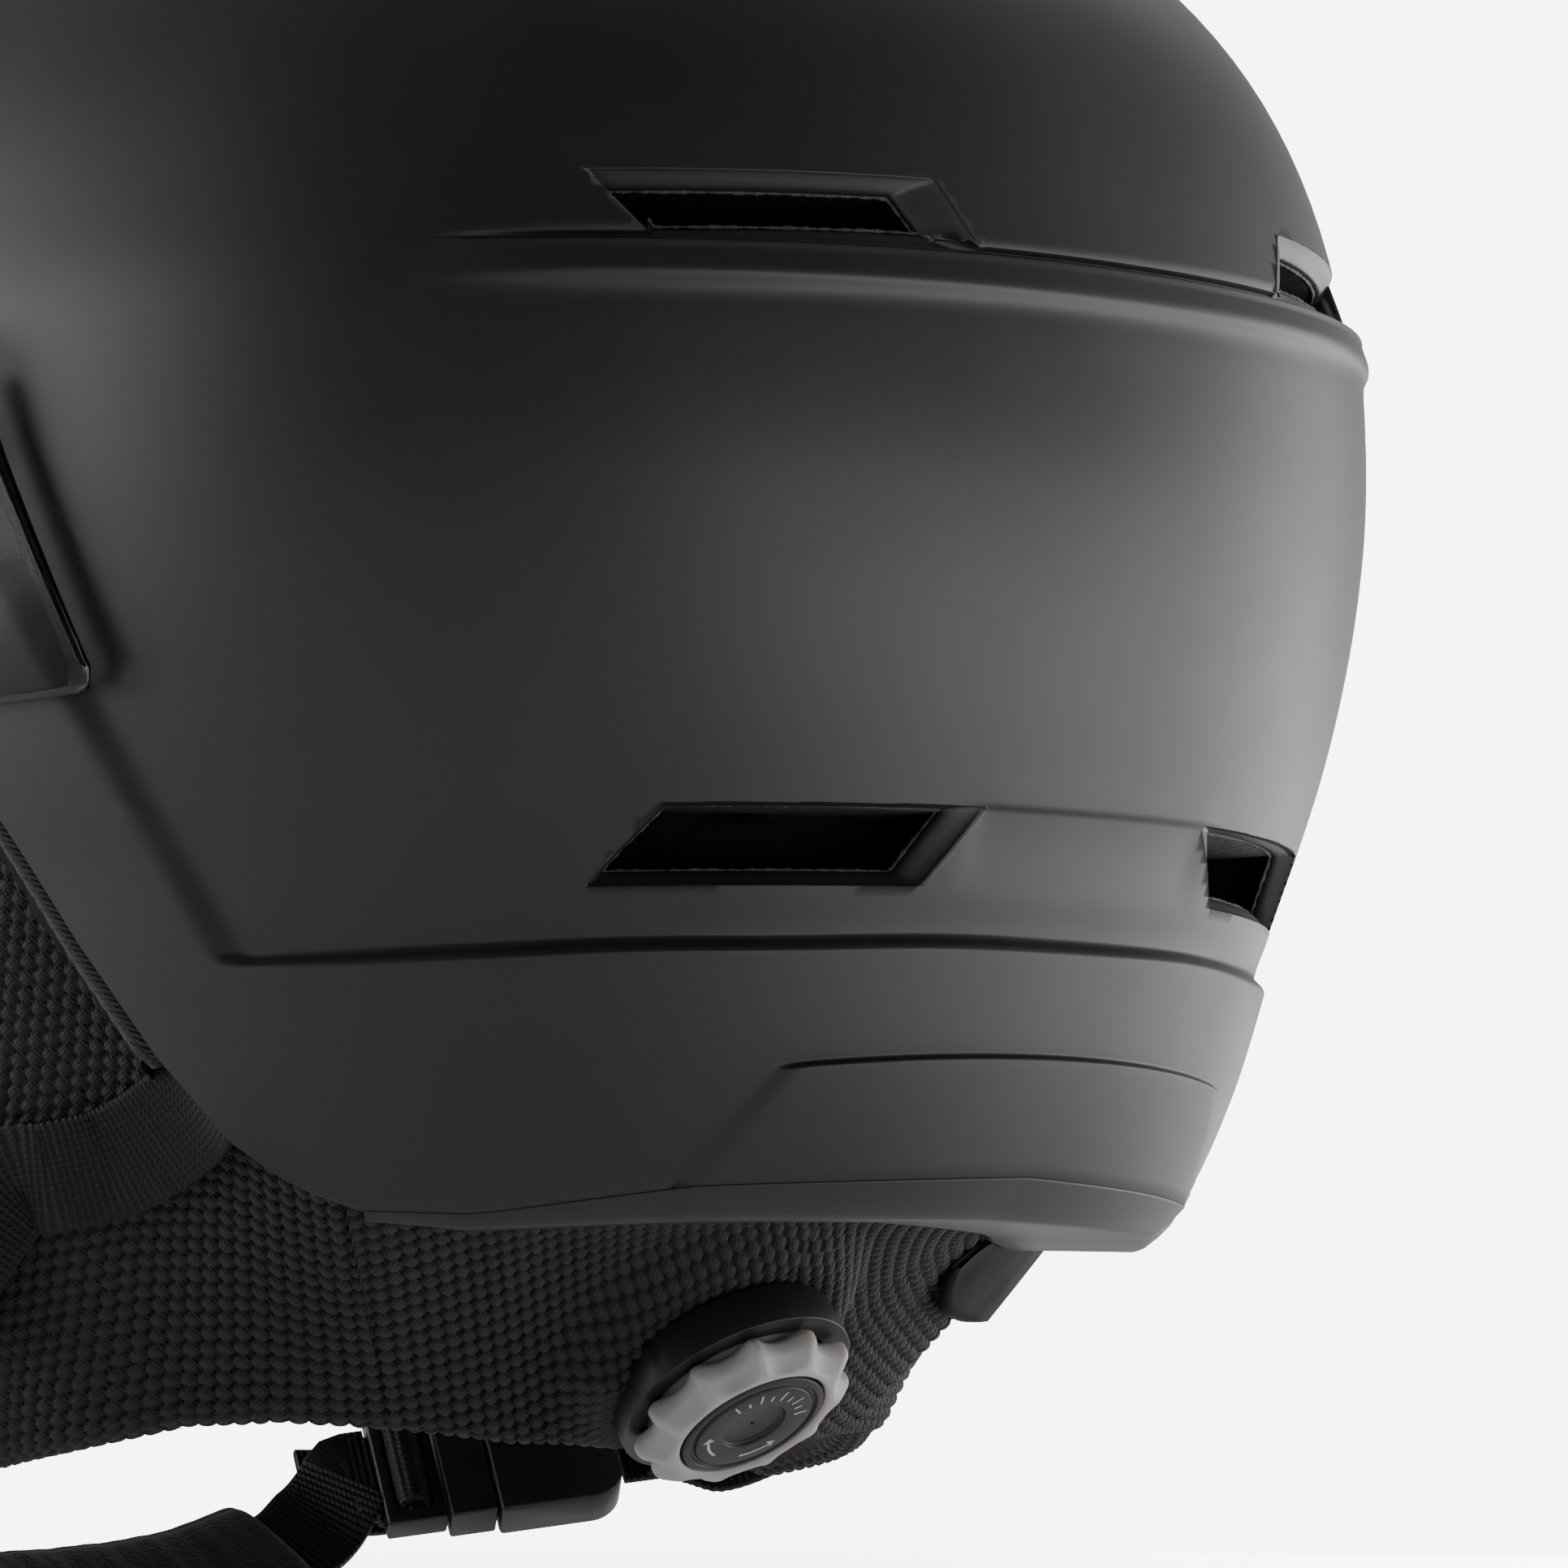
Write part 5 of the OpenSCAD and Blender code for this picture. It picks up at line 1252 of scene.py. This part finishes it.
@dataclass
class Visor:
    """The smoked lens with its black edge, its seal, and the pivots that carry it."""

    gap: float = 3.4
    thick: float = 2.2
    rear: float = 70.1
    rear_slope: float = 0.214
    corner_r: float = 3.2
    edge_w: float = 2.6
    low_w: float = 1.2
    columns: int = 220
    rows: int = 44

    def point(self, a: Array, z: Array, d: float) -> Array:
        """A place a distance outside the plain form, whose taper fades from the rear edge forward."""
        k = mix(0.19, 0.0, np.clip((turn_of(a) - self.rear) / 43, 0, 1))
        form = SHELL_FORM
        over = np.clip((z - form.belt) / (form.crown + d), 0, 1)
        taper = 1 - k * np.clip((form.belt - z) / form.belt, 0, None) ** 1.5
        share = np.where(z >= form.belt, (1 - over ** form.dome) ** (1 / form.dome), taper)
        return polar(form.inset(-d).reach(a) * share, a, z)

    def rear_a(self, z: Array) -> Array:
        """Angle of the slanted rear edge at a height."""
        return self.rear + (z - LENS_LOW_LINE[0][1]) * self.rear_slope

    def spread(self, u: Array, v: Array) -> tuple[Array, Array]:
        """Angle and height of places on the lens. The rear corners are rounded: the heights close up by the
        quarter circle of the corner's radius as the rear edge comes near.

        Args:
            u: Share of the way round, from 0 at the left rear edge to 1 at the right.
            v: Share of the way up.
        Returns:
            Angles and heights.
        """
        out = np.abs(1 - 2 * u)
        guess = mix(table(180 - out * 105, LENS_LOW_LINE), table(180 - out * 100, LENS_TOP_LINE), v)
        for _ in range(3):
            a = 180 - (1 - 2 * u) * (180 - self.rear_a(guess))
            low, high = curve(turn_of(a), LENS_LOW_LINE), curve(turn_of(a), LENS_TOP_LINE)
            run = (turn_of(a) - self.rear_a(guess)) * SHELL_FORM.half_w * math.pi / 180
            r = self.corner_r
            corner = r - np.sqrt(np.clip(r ** 2 - np.clip(r - run, 0, r) ** 2, 0, None))
            guess = mix(low + corner, high - corner * 1.5, v)
        return a, guess

    def layer(self, name: str, u: Array, v: Array, d_in: float, d_out: float, edge: float) -> Piece:
        """A closed sheet over a part of the lens, with rounded edges.

        Args:
            name: Name of the piece.
            u: Shares of the way round of its columns.
            v: Shares of the way up, one for all columns or one row for each.
            d_in: Distance of its inside from the plain form.
            d_out: Distance of its outside.
            edge: Radius of its rounded edges.
        Returns:
            The sheet.
        """
        v = np.broadcast_to(v, (len(u), v.shape[-1]))
        a, z = self.spread(np.broadcast_to(u[:, None], v.shape), v)
        outside, inside = self.point(a, z, d_out), self.point(a, z, d_in)
        mid = (outside[:, [0, -1]] + inside[:, [0, -1]]) / 2
        run = unit(outside[:, 1] - outside[:, 0])
        top = unit(outside[:, -1] - outside[:, -2])
        loop = np.concatenate([outside, (mid[:, 1] + top * edge)[:, None], inside[:, ::-1],
                               (mid[:, 0] - run * edge)[:, None]], 1)
        return tube(name, loop)

    def build(self) -> None:
        """Builds the lens, its black edge, the seal and the pivots."""
        u = np.linspace(0, 1, self.columns)
        u = np.concatenate([np.linspace(0, 0.01, 8)[:-1], mix(0.01, 0.99, u), np.linspace(0.99, 1, 8)[1:]])
        lens = self.layer("visor_lens_sheet", u, np.linspace(0, 1, self.rows), self.gap,
                          self.gap + self.thick, 0.25)
        dress(lens, LENS, "visor", "visor_smoke", "visor_lens")
        dress(self.band(), EDGE_BLACK, "visor", "frame_black", "visor_frame")
        hard_part("visor_seal", RUBBER, "visor", "seal_rubber", 0.5)
        for side in ("left", "right"):
            hard_parts((f"visor_hub_{side}", PLASTIC, "visor", "trim_plastic", 0.5),
                       (f"pivot_base_{side}", PLASTIC, "helmet", "trim_plastic", 0.3),
                       (f"pivot_screw_{side}", STEEL, "helmet", "screw_steel", 0.25))

    def band(self) -> Piece:
        """The black edge: a flat strip inside the lens, up both rear edges and along the bottom."""
        a0, z0 = self.spread(np.zeros(40), np.linspace(0.97, 0.03, 40))
        a1, z1 = self.spread(np.linspace(0, 1, 260), np.zeros(260))
        left_in = a0 + self.edge_w / SHELL_FORM.half_w * 180 / math.pi
        low_edge = np.where(a1 < 180, a1 + 0.05, a1 - 0.05)
        low_in = np.clip(a1, self.rear + 2.2, 357.8 - self.rear)
        edge_a = np.concatenate([a0 + 0.08, low_edge, 360 - a0[::-1] - 0.08])[:, None]
        in_a = np.concatenate([left_in, low_in, 360 - left_in[::-1]])[:, None]
        edge_h, in_h = (np.concatenate([z0, z1 + up, z0[::-1]])[:, None] for up in (0.1, self.low_w))
        share = np.linspace(0, 1, 5)[None]
        a, z = mix(edge_a, in_a, share), mix(edge_h, in_h, share)
        outside, inside = self.point(a, z, self.gap - 0.05), self.point(a, z, self.gap - 0.9)
        return sheet("visor_edge_band", outside, inside)


# ---- Fit dial ----
@dataclass
class Dial:
    """The nape dial: a frosted ring with finger scallops, a printed disc and its collar."""

    outer: float = 16.0
    disc: float = 10.5
    scallops: int = 11
    finger_r: float = 4.9
    finger_out: float = 2.5

    def place(self, x: Array, y: Array, s: Array) -> Array:
        """Points from the dial's own axes: across, down and out of its face."""
        return (DIAL_AT + np.asarray(x)[..., None] * DIAL_X + np.asarray(y)[..., None] * DIAL_Y
                + np.asarray(s)[..., None] * DIAL_N)

    def turned(self, name: str, profile: Array, count: int, dent: Callable | None = None) -> Piece:
        """A closed profile of radius and height turned round the dial's axis.

        Args:
            name: Name of the piece.
            profile: Outline, one place a row.
            count: Places round.
            dent: What to take from the radius, given turn and radius.
        Returns:
            The piece.
        """
        t = np.linspace(0, 2 * np.pi, count, endpoint=False)[:, None]
        q, s = profile[None, :, 0], profile[None, :, 1]
        q = q - dent(t, q) if dent else np.broadcast_to(q, (count, len(profile)))
        points = self.place(q * np.sin(t), q * np.cos(t), np.broadcast_to(s, q.shape))
        return ring(name, points)

    def scallop(self, t: Array, q: Array) -> Array:
        """Depth of the finger scallops: circles round the rim, their corners softened."""
        span = 2 * np.pi / self.scallops
        off = (t + span / 2) % span - span / 2
        chord = np.abs(off) * (self.outer + 1)
        depth = np.sqrt(np.clip(self.finger_r ** 2 - chord ** 2, 0.0, None)) - self.finger_out
        soft = 0.5 * (depth + np.sqrt(depth ** 2 + 0.06))
        return soft * np.clip((q - self.outer + 4.3) / 3.1, 0, 1)

    def build(self) -> None:
        """Builds the dial from outlines of radius, height and rounding, and dresses the parts behind it."""
        d, r = self.disc + 0.3, self.outer
        grip = np.array([(2.4, -7.5, 0.2), (13.0, -7.5, 0.3), (13.0, -5.4, 0.2), (r - 1.0, -5.4, 0.5),
                         (r, -4.4, 0.6), (r, -2.6, 1.0), (r - 2.9, -0.1, 1.0), (d + 0.5, -0.15, 0.25),
                         (d, -0.6, 0.25), (d, -3.9, 0.1), (9.0, -3.9, 0.3), (9.0, -6.0, 0.3),
                         (2.4, -6.0, 0.2)])
        knob = self.turned("dial_grip", fillet(grip[:, :2], grip[:, 2], 6), 396, self.scallop)
        dress(knob, FROST, "dial", "dial_grey", "dial_ring")
        face = np.array([(0.3, -3.7, 0.1), (10.5, -3.7, 0.2), (10.5, -0.3, 0.35), (9.5, -0.15, 0.15),
                         (9.3, -0.65, 0.15), (8.8, -0.65, 0.15), (8.6, -0.1, 0.2), (4.7, -0.1, 0.15),
                         (4.5, -0.75, 0.25), (0.3, -0.75, 0.1)])
        plate = self.turned("dial_face", fillet(face[:, :2], face[:, 2], 4), 180)
        dress(plate, DISC, "dial", "disc_grey", "dial_disc")
        self.build_print()
        hard_parts(("dial_housing", PLASTIC, "fit_unit", "fit_plastic", 0.3),
                   ("fit_carriage", PLASTIC, "fit_unit", "fit_plastic", 0.3),
                   ("fit_rail", PLASTIC, "helmet", "fit_plastic", 0.4),
                   ("dial_pinion", NYLON, "dial", "gear_plastic", 0.08),
                   ("dial_screw", STEEL, "dial", "screw_steel", 0.2))
        for side in ("left", "right"):
            hard_part(f"fit_band_{side}", PLASTIC, f"band_{side}", "fit_plastic", 0.2)

    def printed(self, name: str, x: Array, y: Array) -> None:
        """A thin light mark on the dial's face, from its outline."""
        rings = [self.place(x, y, np.full(len(x), h)) for h in (-0.09, -0.04)]
        dress(tube(name, np.stack(rings)), PRINT, "dial", "disc_grey")

    def build_print(self) -> None:
        """Plain printed marks: ticks round the disc and a turn arrow on each side of its middle."""
        for k, turn in enumerate(np.radians(np.arange(-60, 61, 15) + 180)):
            length = 1.9 if k % 2 == 0 else 1.1
            across = np.array([-0.14, 0.14, 0.14, -0.14])
            along = np.array([6.0, 6.0, 6.0 + length, 6.0 + length])
            x = along * np.sin(turn) + across * np.cos(turn)
            y = along * np.cos(turn) - across * np.sin(turn)
            self.printed(f"dial_tick_{k}", x, y)
        for k, sign in enumerate((-1, 1)):
            t = np.radians(np.linspace(20, 58, 16))
            bow = np.concatenate([t, t[::-1]])
            q = np.repeat([7.05, 6.65], len(t))
            self.printed(f"dial_arc_{k}", q * np.sin(bow) * sign, q * np.cos(bow))
            tip = np.radians(np.array([57.0, 66.0, 57.0]))
            q = np.array([7.75, 6.85, 5.95])
            self.printed(f"dial_arrow_{k}", q * np.sin(tip) * sign, q * np.cos(tip))


# ---- Straps ----
FAR = np.array([-1.0, 1.0, 1.0])


def packed_r(a: Array, z: Array) -> Array:
    """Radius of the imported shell."""
    return SHELL_FORM.radius(a, z) * table(z, TRIM_LINE)


def angle_of(p: Array) -> Array:
    """Angle of points round the helmet."""
    return np.degrees(np.arctan2(p[..., 0], p[..., 1]))


@dataclass
class Straps:
    """The webbing, its dividers and anchors, the chin pad and the buckle."""

    width: float = 15.0
    thick: float = 1.5
    rib: float = 1.0
    divider_a: float = 104.0
    divider_z: float = -8.0
    divider_tilt: float = 16.0
    divider_t: float = 4.2
    divider_w: float = 20.0
    divider_h: float = 19.0
    lead: float = 6.0
    gap: float = 0.5
    lock: float = 9.0
    buckle_at: tuple[float, float, float] = (-41.0, -58.5, -30.5)
    socket_end: float = 31.2
    sleeve_w: float = 22.0
    sleeve_t: float = 8.6

    def __post_init__(self) -> None:
        """Works out the axes of the divider and the buckle."""
        a = math.radians(self.divider_a)
        tilt = math.radians(self.divider_tilt)
        q = knit_r(np.array(self.divider_a), np.array(self.divider_z)) + self.divider_t / 2 + 1.6
        self.at = polar(q, self.divider_a, self.divider_z)
        self.y_axis = np.array([-math.cos(a), math.sin(a), 0.0])
        self.z_axis = np.array([math.sin(tilt) * math.sin(a), math.sin(tilt) * math.cos(a), math.cos(tilt)])
        self.bx = unit([-24.0, 16.5, 4.0])
        w = np.array([-0.2, 0.72, -0.66])
        self.by = unit(w - self.bx * (self.bx @ w))

    def on_divider(self, y: float, z: float) -> Array:
        """A place on the left divider's plane."""
        return self.at + y * self.y_axis + z * self.z_axis

    def under_divider(self, d: float) -> Array:
        """A place a distance under the left divider."""
        return self.on_divider(0, -self.divider_h / 2 - d)

    def on_buckle(self, x: float) -> Array:
        """A place on the buckle's axis."""
        return np.array(self.buckle_at) + x * self.bx

    def inside(self, a: float, z: float, d: float) -> Array:
        """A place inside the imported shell."""
        return polar(packed_r(np.array(a), np.array(z)) - d, a, z)

    def outside(self, a: float, z: float, d: float) -> Array:
        """A place outside the knit, half the webbing and a gap away."""
        return polar(knit_r(np.array(a), np.array(z)) + self.thick / 2 + d, a, z)

    def webbing(self, name: str, path: Array, side: Array) -> Piece:
        """Ribbed webbing along a path: a flat oval whose thickness waves, with firm selvages.

        Args:
            name: Name of the piece.
            path: Points of the route.
            side: The way that the width lies at each.
        Returns:
            The webbing, with its map across and along.
        """
        path, side, run = evenly(path, self.rib / 4, side)
        flat = oval(self.width, self.thick - 0.25, 7.0, 44)
        across = np.abs(flat[:, 0]) / (self.width / 2)
        wave = 0.5 + 0.5 * np.cos(2 * np.pi * run / self.rib)
        puff = 1 + 0.34 * wave[:, None] * (1 - ease(across, 0.86, 0.95))[None]
        puff = puff + 0.16 * ease(across, 0.88, 0.94)[None]
        profile = np.stack([np.broadcast_to(flat[:, 0], puff.shape), flat[:, 1] * puff], -1)
        uv = np.stack(np.broadcast_arrays(flat[None, :, 0], run[:, None]), -1)
        return tube(name, carried(path, side, profile), uv)

    def rear_route(self) -> tuple[Array, Array]:
        """The rear strap: out from its anchor, under the shell's edge and along the knit to the divider."""
        inner = [self.inside(*p) for p in ((50, 33, 5), (56, 28, 4.7), (61.5, 23.2, 4.4), (66, 19.3, 4.3))]
        outer = [self.outside(*p) for p in ((70.5, 15, 0.5), (75, 11.6, 0.5), (80, 8.7, 0.5),
                                            (85, 7, 1), (89.4, 5.4, 1.5))]
        path = spline(np.array([*inner, *outer, self.on_divider(self.divider_w / 2 + self.lead, 1)]), 10)
        path = np.vstack([path, self.on_divider(self.divider_w / 2 + self.gap, 1)])
        a, z = angle_of(path), path[:, 2]
        shell, knit = (unit(step_on(radius, a, z, 0, 5)) for radius in (packed_r, knit_r))
        knit = mix(knit, self.z_axis, np.clip((10 - path[:, 1:2]) / 20, 0, 1))
        return path, mix(shell, knit, ease(a, 64, 73)[:, None])

    def front_route(self) -> tuple[Array, Array]:
        """The front strap: down from its anchor in front of the ear to the divider."""
        points = [self.inside(99, 104, 5), self.inside(99, 96, 4.2), self.inside(99.3, 86, 4),
                  polar(101, 100, 62), polar(98, 101, 36),
                  self.on_divider(-1, self.divider_h / 2 + self.lead)]
        path = np.vstack([spline(np.array(points), 10), self.on_divider(-1, self.divider_h / 2 + self.gap)])
        way = np.array([math.cos(math.radians(100)), -math.sin(math.radians(100)), 0])
        return path, np.broadcast_to(way, path.shape)

    def chin_route(self) -> tuple[Array, Array]:
        """The chin strap: from the left divider under the chin to the buckle."""
        points = np.array([self.under_divider(self.lead), (79.5, -31, -32), (70, -42.5, -39.5),
                           (55, -55.5, -47), (38, -62.5, -50.5), (18, -65.5, -50.5), (-5, -65, -48),
                           (-21, -63.5, -42.8), (-29, -64, -38), self.on_buckle(-self.lock / 2 - 4)])
        path = spline(points, 12)
        at = np.arange(len(path)) / 6 + 1
        path = np.vstack([self.under_divider(self.gap), path, self.on_buckle(-self.lock / 2 - self.gap)])
        at = np.concatenate([[0], at, [at[-1] + 1]])
        way = mix(self.y_axis, np.array([0, 0.75, -0.66]), np.clip((at - 1) / 9, 0, 1)[:, None])
        return path, mix(way, self.by, ease(at, 15.5, 17.5)[:, None])

    def right_route(self) -> tuple[Array, Array]:
        """The short end on the right: from the buckle to the right divider."""
        points = np.array([self.on_buckle(self.socket_end + self.lead), (-78.5, -32.5, -28),
                           self.under_divider(self.lead) * FAR])
        path = np.vstack([self.on_buckle(self.socket_end + self.gap), spline(points, 12),
                          self.under_divider(self.gap) * FAR])
        share = np.clip(np.linspace(-0.1, 1.1, len(path)), 0, 1)[:, None]
        return path, mix(self.by, self.y_axis * FAR, share)

    def lock_loop(self) -> Piece:
        """The webbing's end: over the lock's first bar, round its middle bar and back over the strap."""
        points = np.array([(-5.6, 0.0), (-5.0, 1.9), (-4.2, 3.0), (-2.8, 3.0), (-1.8, 1.4),
                           (-1.8, -1.5), (-0.7, -3.0), (0.9, -3.0), (2.0, -1.5), (2.0, 1.5), (0.9, 3.2),
                           (-2.5, 4.6), (-6.0, 4.7), (-15.0, 2.6)])
        bz = np.cross(self.bx, self.by)
        path = spline(np.array(self.buckle_at) + points[:, :1] * self.bx + points[:, 1:] * bz, 8)
        return self.webbing("lock_web_loop", path, np.broadcast_to(self.by, path.shape))

    def sleeve(self) -> Piece:
        """The chin pad: a fleece sleeve, oval across, rounded at its ends, with a seam at each side."""
        path, way = self.chin_route()
        path, way, run = evenly(path[43:86], 0.7, way[43:86])
        end = np.minimum(run, run[-1] - run)
        grow = (1 - np.clip(1 - end / 4.5, 0, 1) ** 2.4) ** (1 / 2.4)
        flat = oval(self.sleeve_w, self.sleeve_t, 2.7, 72)
        dip = 1 - 0.1 * np.exp(-((np.abs(flat[:, 0]) - 9.4) / 0.5) ** 2)
        lump = 1 + 0.03 * np.sin(run * 0.55)[:, None] + 0.02 * np.sin(run * 1.3 + 1)[:, None]
        w = mix(0.78, 1.0, grow)[:, None] * np.broadcast_to(flat[None, :, 0], (len(run), 72))
        h = mix(0.34, 1.0, grow)[:, None] * flat[None, :, 1] * dip[None] * lump
        return tube("chin_pad_sleeve", carried(path, way, np.stack([w, h], -1)))

    def build(self) -> None:
        """Builds the webbing and the pad, and dresses the hard parts."""
        for node, (path, way) in (("strap_rear", self.rear_route()), ("strap_front", self.front_route())):
            for side, sign in (("left", np.ones(3)), ("right", FAR)):
                piece = self.webbing(f"{node}_{side}_web", path * sign, way * sign)
                dress(piece, WEBBING, "helmet", "webbing", f"{node}_{side}")
        left, right = (self.webbing(f"chin_web_{side}", *route) for side, route in (
            ("left", self.chin_route()), ("right", self.right_route())))
        dress(left, WEBBING, "", "webbing", "chin_strap_left")
        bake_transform(left)
        dress(right, WEBBING, "helmet", "webbing", "chin_strap_right")
        sleeve = dress(self.sleeve(), FLEECE, "chin_half", "fleece", "chin_pad")
        hard_part("ladder_lock", PLASTIC, "chin_half", "buckle_black", 0.5)
        dress(self.lock_loop(), WEBBING, "chin_half", "webbing")
        hard_parts(("strap_keeper", PLASTIC, "helmet", "buckle_black", 0.4),
                   ("buckle_plug", PLASTIC, "chin_half", "buckle_black", 0.5),
                   ("buckle_socket", PLASTIC, "helmet", "buckle_black", 0.7),
                   ("strap_anchors", PLASTIC, "helmet", "fit_plastic", 0.4))
        for side in ("left", "right"):
            hard_part(f"strap_divider_{side}", PLASTIC, "helmet", "buckle_black", 0.5)


@dataclass
class Binding:
    """The twill tape round the shell's front edge, and the smooth strip between it and the knit."""

    radius: float = 1.55
    start: float = 70.4
    end: float = 112.0
    twist: float = 2.6

    def off_edge(self, a: Array, d: Array) -> tuple[Array, Array]:
        """Angle and height of places a distance off the shell's edge, at right angles to it on the skin."""
        arc = SHELL_FORM.half_w * math.pi / 180
        slope = (edge_z(a + 0.5) - edge_z(a - 0.5)) / arc
        long = np.sqrt(1 + slope ** 2)
        return a + d * slope / long / arc, edge_z(a) - d / long

    def tape(self, sign: int) -> tuple[Array, Array]:
        """The tape's rings and its map: twisted ribs on a round profile, sunk at its start."""
        turn = np.linspace(0, 2 * np.pi, 28, endpoint=False)[None]
        a, z = self.off_edge(np.linspace(self.start, self.end, 420), 1.4)
        sunk = 1.75 + 3.0 * (1 - ease(a, self.start, self.start + 1.6))
        path = polar(SKIN.radius(a, np.maximum(z, 3)) - sunk, a * sign, z)
        path, run = evenly(path, 0.28)
        run = run[:, None]
        wave = np.cos(turn * 6 + 2 * np.pi * run / self.twist)
        q = self.radius * (1 + 0.035 * wave)
        profile = np.stack([q * np.cos(turn), q * 1.1 * np.sin(turn)], -1)
        uv = np.stack(np.broadcast_arrays(run, turn * self.radius + 0.8 * run), -1)
        return carried(path, unit(path * np.array([1.0, 1.0, 0.0])), profile), uv

    def strip(self, sign: int) -> tuple[Array, Array]:
        """The strip's outside and inside: from under the shell to the knit, with a ragged far edge."""
        a = np.linspace(self.start + 0.4, self.end - 2, 160)[:, None]
        v = np.linspace(0, 1, 12)[None]
        ragged = 0.35 * np.sin(a * 1.7) + 0.25 * np.sin(a * 4.3 + 1)
        a, z = self.off_edge(a, 1.6 + (6.6 + ragged) * v)
        top = SKIN.radius(a, np.maximum(z, 3)) - 2.3
        low = knit_r(a, z) + 0.3
        q = mix(np.maximum(top, low), low, ease(v, 0.25, 1.0)) + 0.5 * np.sin(np.pi * v)
        return polar(q, a * sign, z), polar(q - 1.0, a * sign, z)

    def build(self) -> None:
        """Builds both on each side."""
        for side, sign in (("left", 1), ("right", -1)):
            tape = tube(f"edge_tape_{side}", *self.tape(sign))
            dress(tape, TAPE, "helmet", "twill_binding", f"ear_binding_{side}")
            strip = sheet(f"edge_strip_{side}", *self.strip(sign))
            dress(strip, SMOOTH_LINING, "helmet", "lining_fabric")


# ---- Studio ----
@dataclass
class Studio:
    """A pale floor, soft lights at both sides and a camera behind the wearer's left shoulder."""

    eye: tuple[float, float, float] = (0.8338, 0.8640, -0.0390)
    aim: tuple[float, float, float] = (-0.0294, 0.0304, 0.0647)
    lens: float = 197.5
    floor_w: float = 8.0
    pale: float = 0.9
    room: float = 0.7
    backdrop: float = 7.0
    bounce: float = 3.2
    lights: tuple[tuple[str, tuple[float, float, float], float, float], ...] = (
        ("left_softbox", (0.96, -0.9, 0.14), 1.3, 17.0), ("right_softbox", (-1.12, 0.4, 0.0), 0.8, 6.0),
        ("top_softbox", (-0.7, -0.5, 1.4), 1.4, 4.0))

    def turned_to(self, thing: Piece, aim: tuple[float, float, float]) -> None:
        """Turns a thing's own -Z to a point with its Y up."""
        way = Vector(aim) - thing.location
        thing.rotation_euler = way.to_track_quat("-Z", "Y").to_euler()

    def build_camera(self) -> None:
        """The camera."""
        data = bpy.data.cameras.new("photo_angle")
        data.lens = self.lens
        data.sensor_width = 36.0
        data.clip_start = 0.05
        data.clip_end = 30.0
        camera = bpy.data.objects.new("photo_angle", data)
        camera.location = self.eye
        bpy.context.scene.collection.objects.link(camera)
        self.turned_to(camera, self.aim)
        bpy.context.scene.camera = camera

    def build_floor(self) -> None:
        """The floor under the lowest point, a square grid with a faint unevenness in its colour. It glows
        evenly for camera rays as the backdrop and, for all rays, more towards the right rear: a painted
        pool of bounced light that lights the helmet from below.
        """
        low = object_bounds()[0][2] / MM
        side = self.floor_w / MM / 2
        x, y = np.meshgrid(np.linspace(-side, side, 9), np.linspace(-side, side, 9), indexing="ij")
        floor = make("floor", np.stack([x, y, np.full_like(x, low - 0.3)], -1), quads(9, 9), closed=False)
        finish = Finish("pale_floor", grey(self.pale), grey(0.93), (0.75, 0.85), size=5.0, marks=400.0,
                        relief=0.0, specular=0.2)
        sweep = finish.material()
        g = Graph(sweep.node_tree)
        surface = sweep.node_tree.nodes["Principled BSDF"]
        surface.inputs["Emission Color"].default_value = (1.0, 0.995, 1.0, 1.0)
        seen = g.add("LightPath").outputs["Is Camera Ray"]
        across = g.add("VectorMath", {0: g.add("TexCoord").outputs["Object"], 1: (-0.69, 0.72, 0.0)},
                       operation="DOT_PRODUCT").outputs["Value"]
        # Painted light: the floor glows brighter towards the right rear and lights the helmet's lower
        # surfaces, though it is no lamp.
        lit = g.span(across, 0.1, 0.46, self.bounce * 0.08, self.bounce)
        glow = g.plus(g.times(seen, self.backdrop * 0.8), lit)
        sweep.node_tree.links.new(glow, surface.inputs["Emission Strength"])
        floor.data.materials.append(sweep)
        floor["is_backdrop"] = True

    def build_lights(self) -> None:
        """The soft lights and the pale surroundings, dimmer on the camera's side and overhead."""
        for name, place, size, power in self.lights:
            data = bpy.data.lights.new(name, "AREA")
            data.shape = "SQUARE"
            data.size = size
            data.energy = power
            lamp = bpy.data.objects.new(name, data)
            lamp.location = place
            bpy.context.scene.collection.objects.link(lamp)
            self.turned_to(lamp, (0.0, 0.0, 0.06))
        world = bpy.data.worlds.new("pale_room")
        world.use_nodes = True
        g = Graph(world.node_tree)
        background = world.node_tree.nodes["Background"]
        place = g.add("TexCoord").outputs["Generated"]
        way = g.add("VectorMath", {0: place}, operation="NORMALIZE").outputs[0]
        to_eye = (Vector(self.eye) - Vector(self.aim)).normalized()
        toward = g.add("VectorMath", {0: way, 1: tuple(to_eye)}, operation="DOT_PRODUCT").outputs["Value"]
        shade = g.span(toward, -0.25, 0.75, 1.0, 0.03)
        height = g.add("SeparateXYZ", {0: way}).outputs[2]
        over = g.span(height, 0.25, 0.85, 1.0, 0.4)
        lit = g.times(g.times(shade, over), self.room)
        seen = g.add("LightPath").outputs["Is Camera Ray"]
        unseen = g.math("SUBTRACT", 1.0, seen)
        strength = g.plus(g.times(seen, self.backdrop), g.times(unseen, lit))
        world.node_tree.links.new(strength, background.inputs["Strength"])
        background.inputs["Color"].default_value = (1.0, 0.995, 1.0, 1.0)
        bpy.context.scene.world = world

    def build(self) -> None:
        """Builds the studio."""
        self.build_camera()
        self.build_floor()
        self.build_lights()


def main() -> None:
    """Builds the helmet sub-assembly by sub-assembly, then the studio round it."""
    logging.basicConfig(level=logging.INFO, format="%(name)s %(message)s")
    for made in (grain_group, weave_group, knit_group):
        made()
    for part in (Shell(), Knit(), Lining(), Visor(), Dial(), Straps(), Binding(), Studio()):
        LOG.info("building %s", type(part).__name__)
        part.build()


if __name__ == "__main__":
    main()
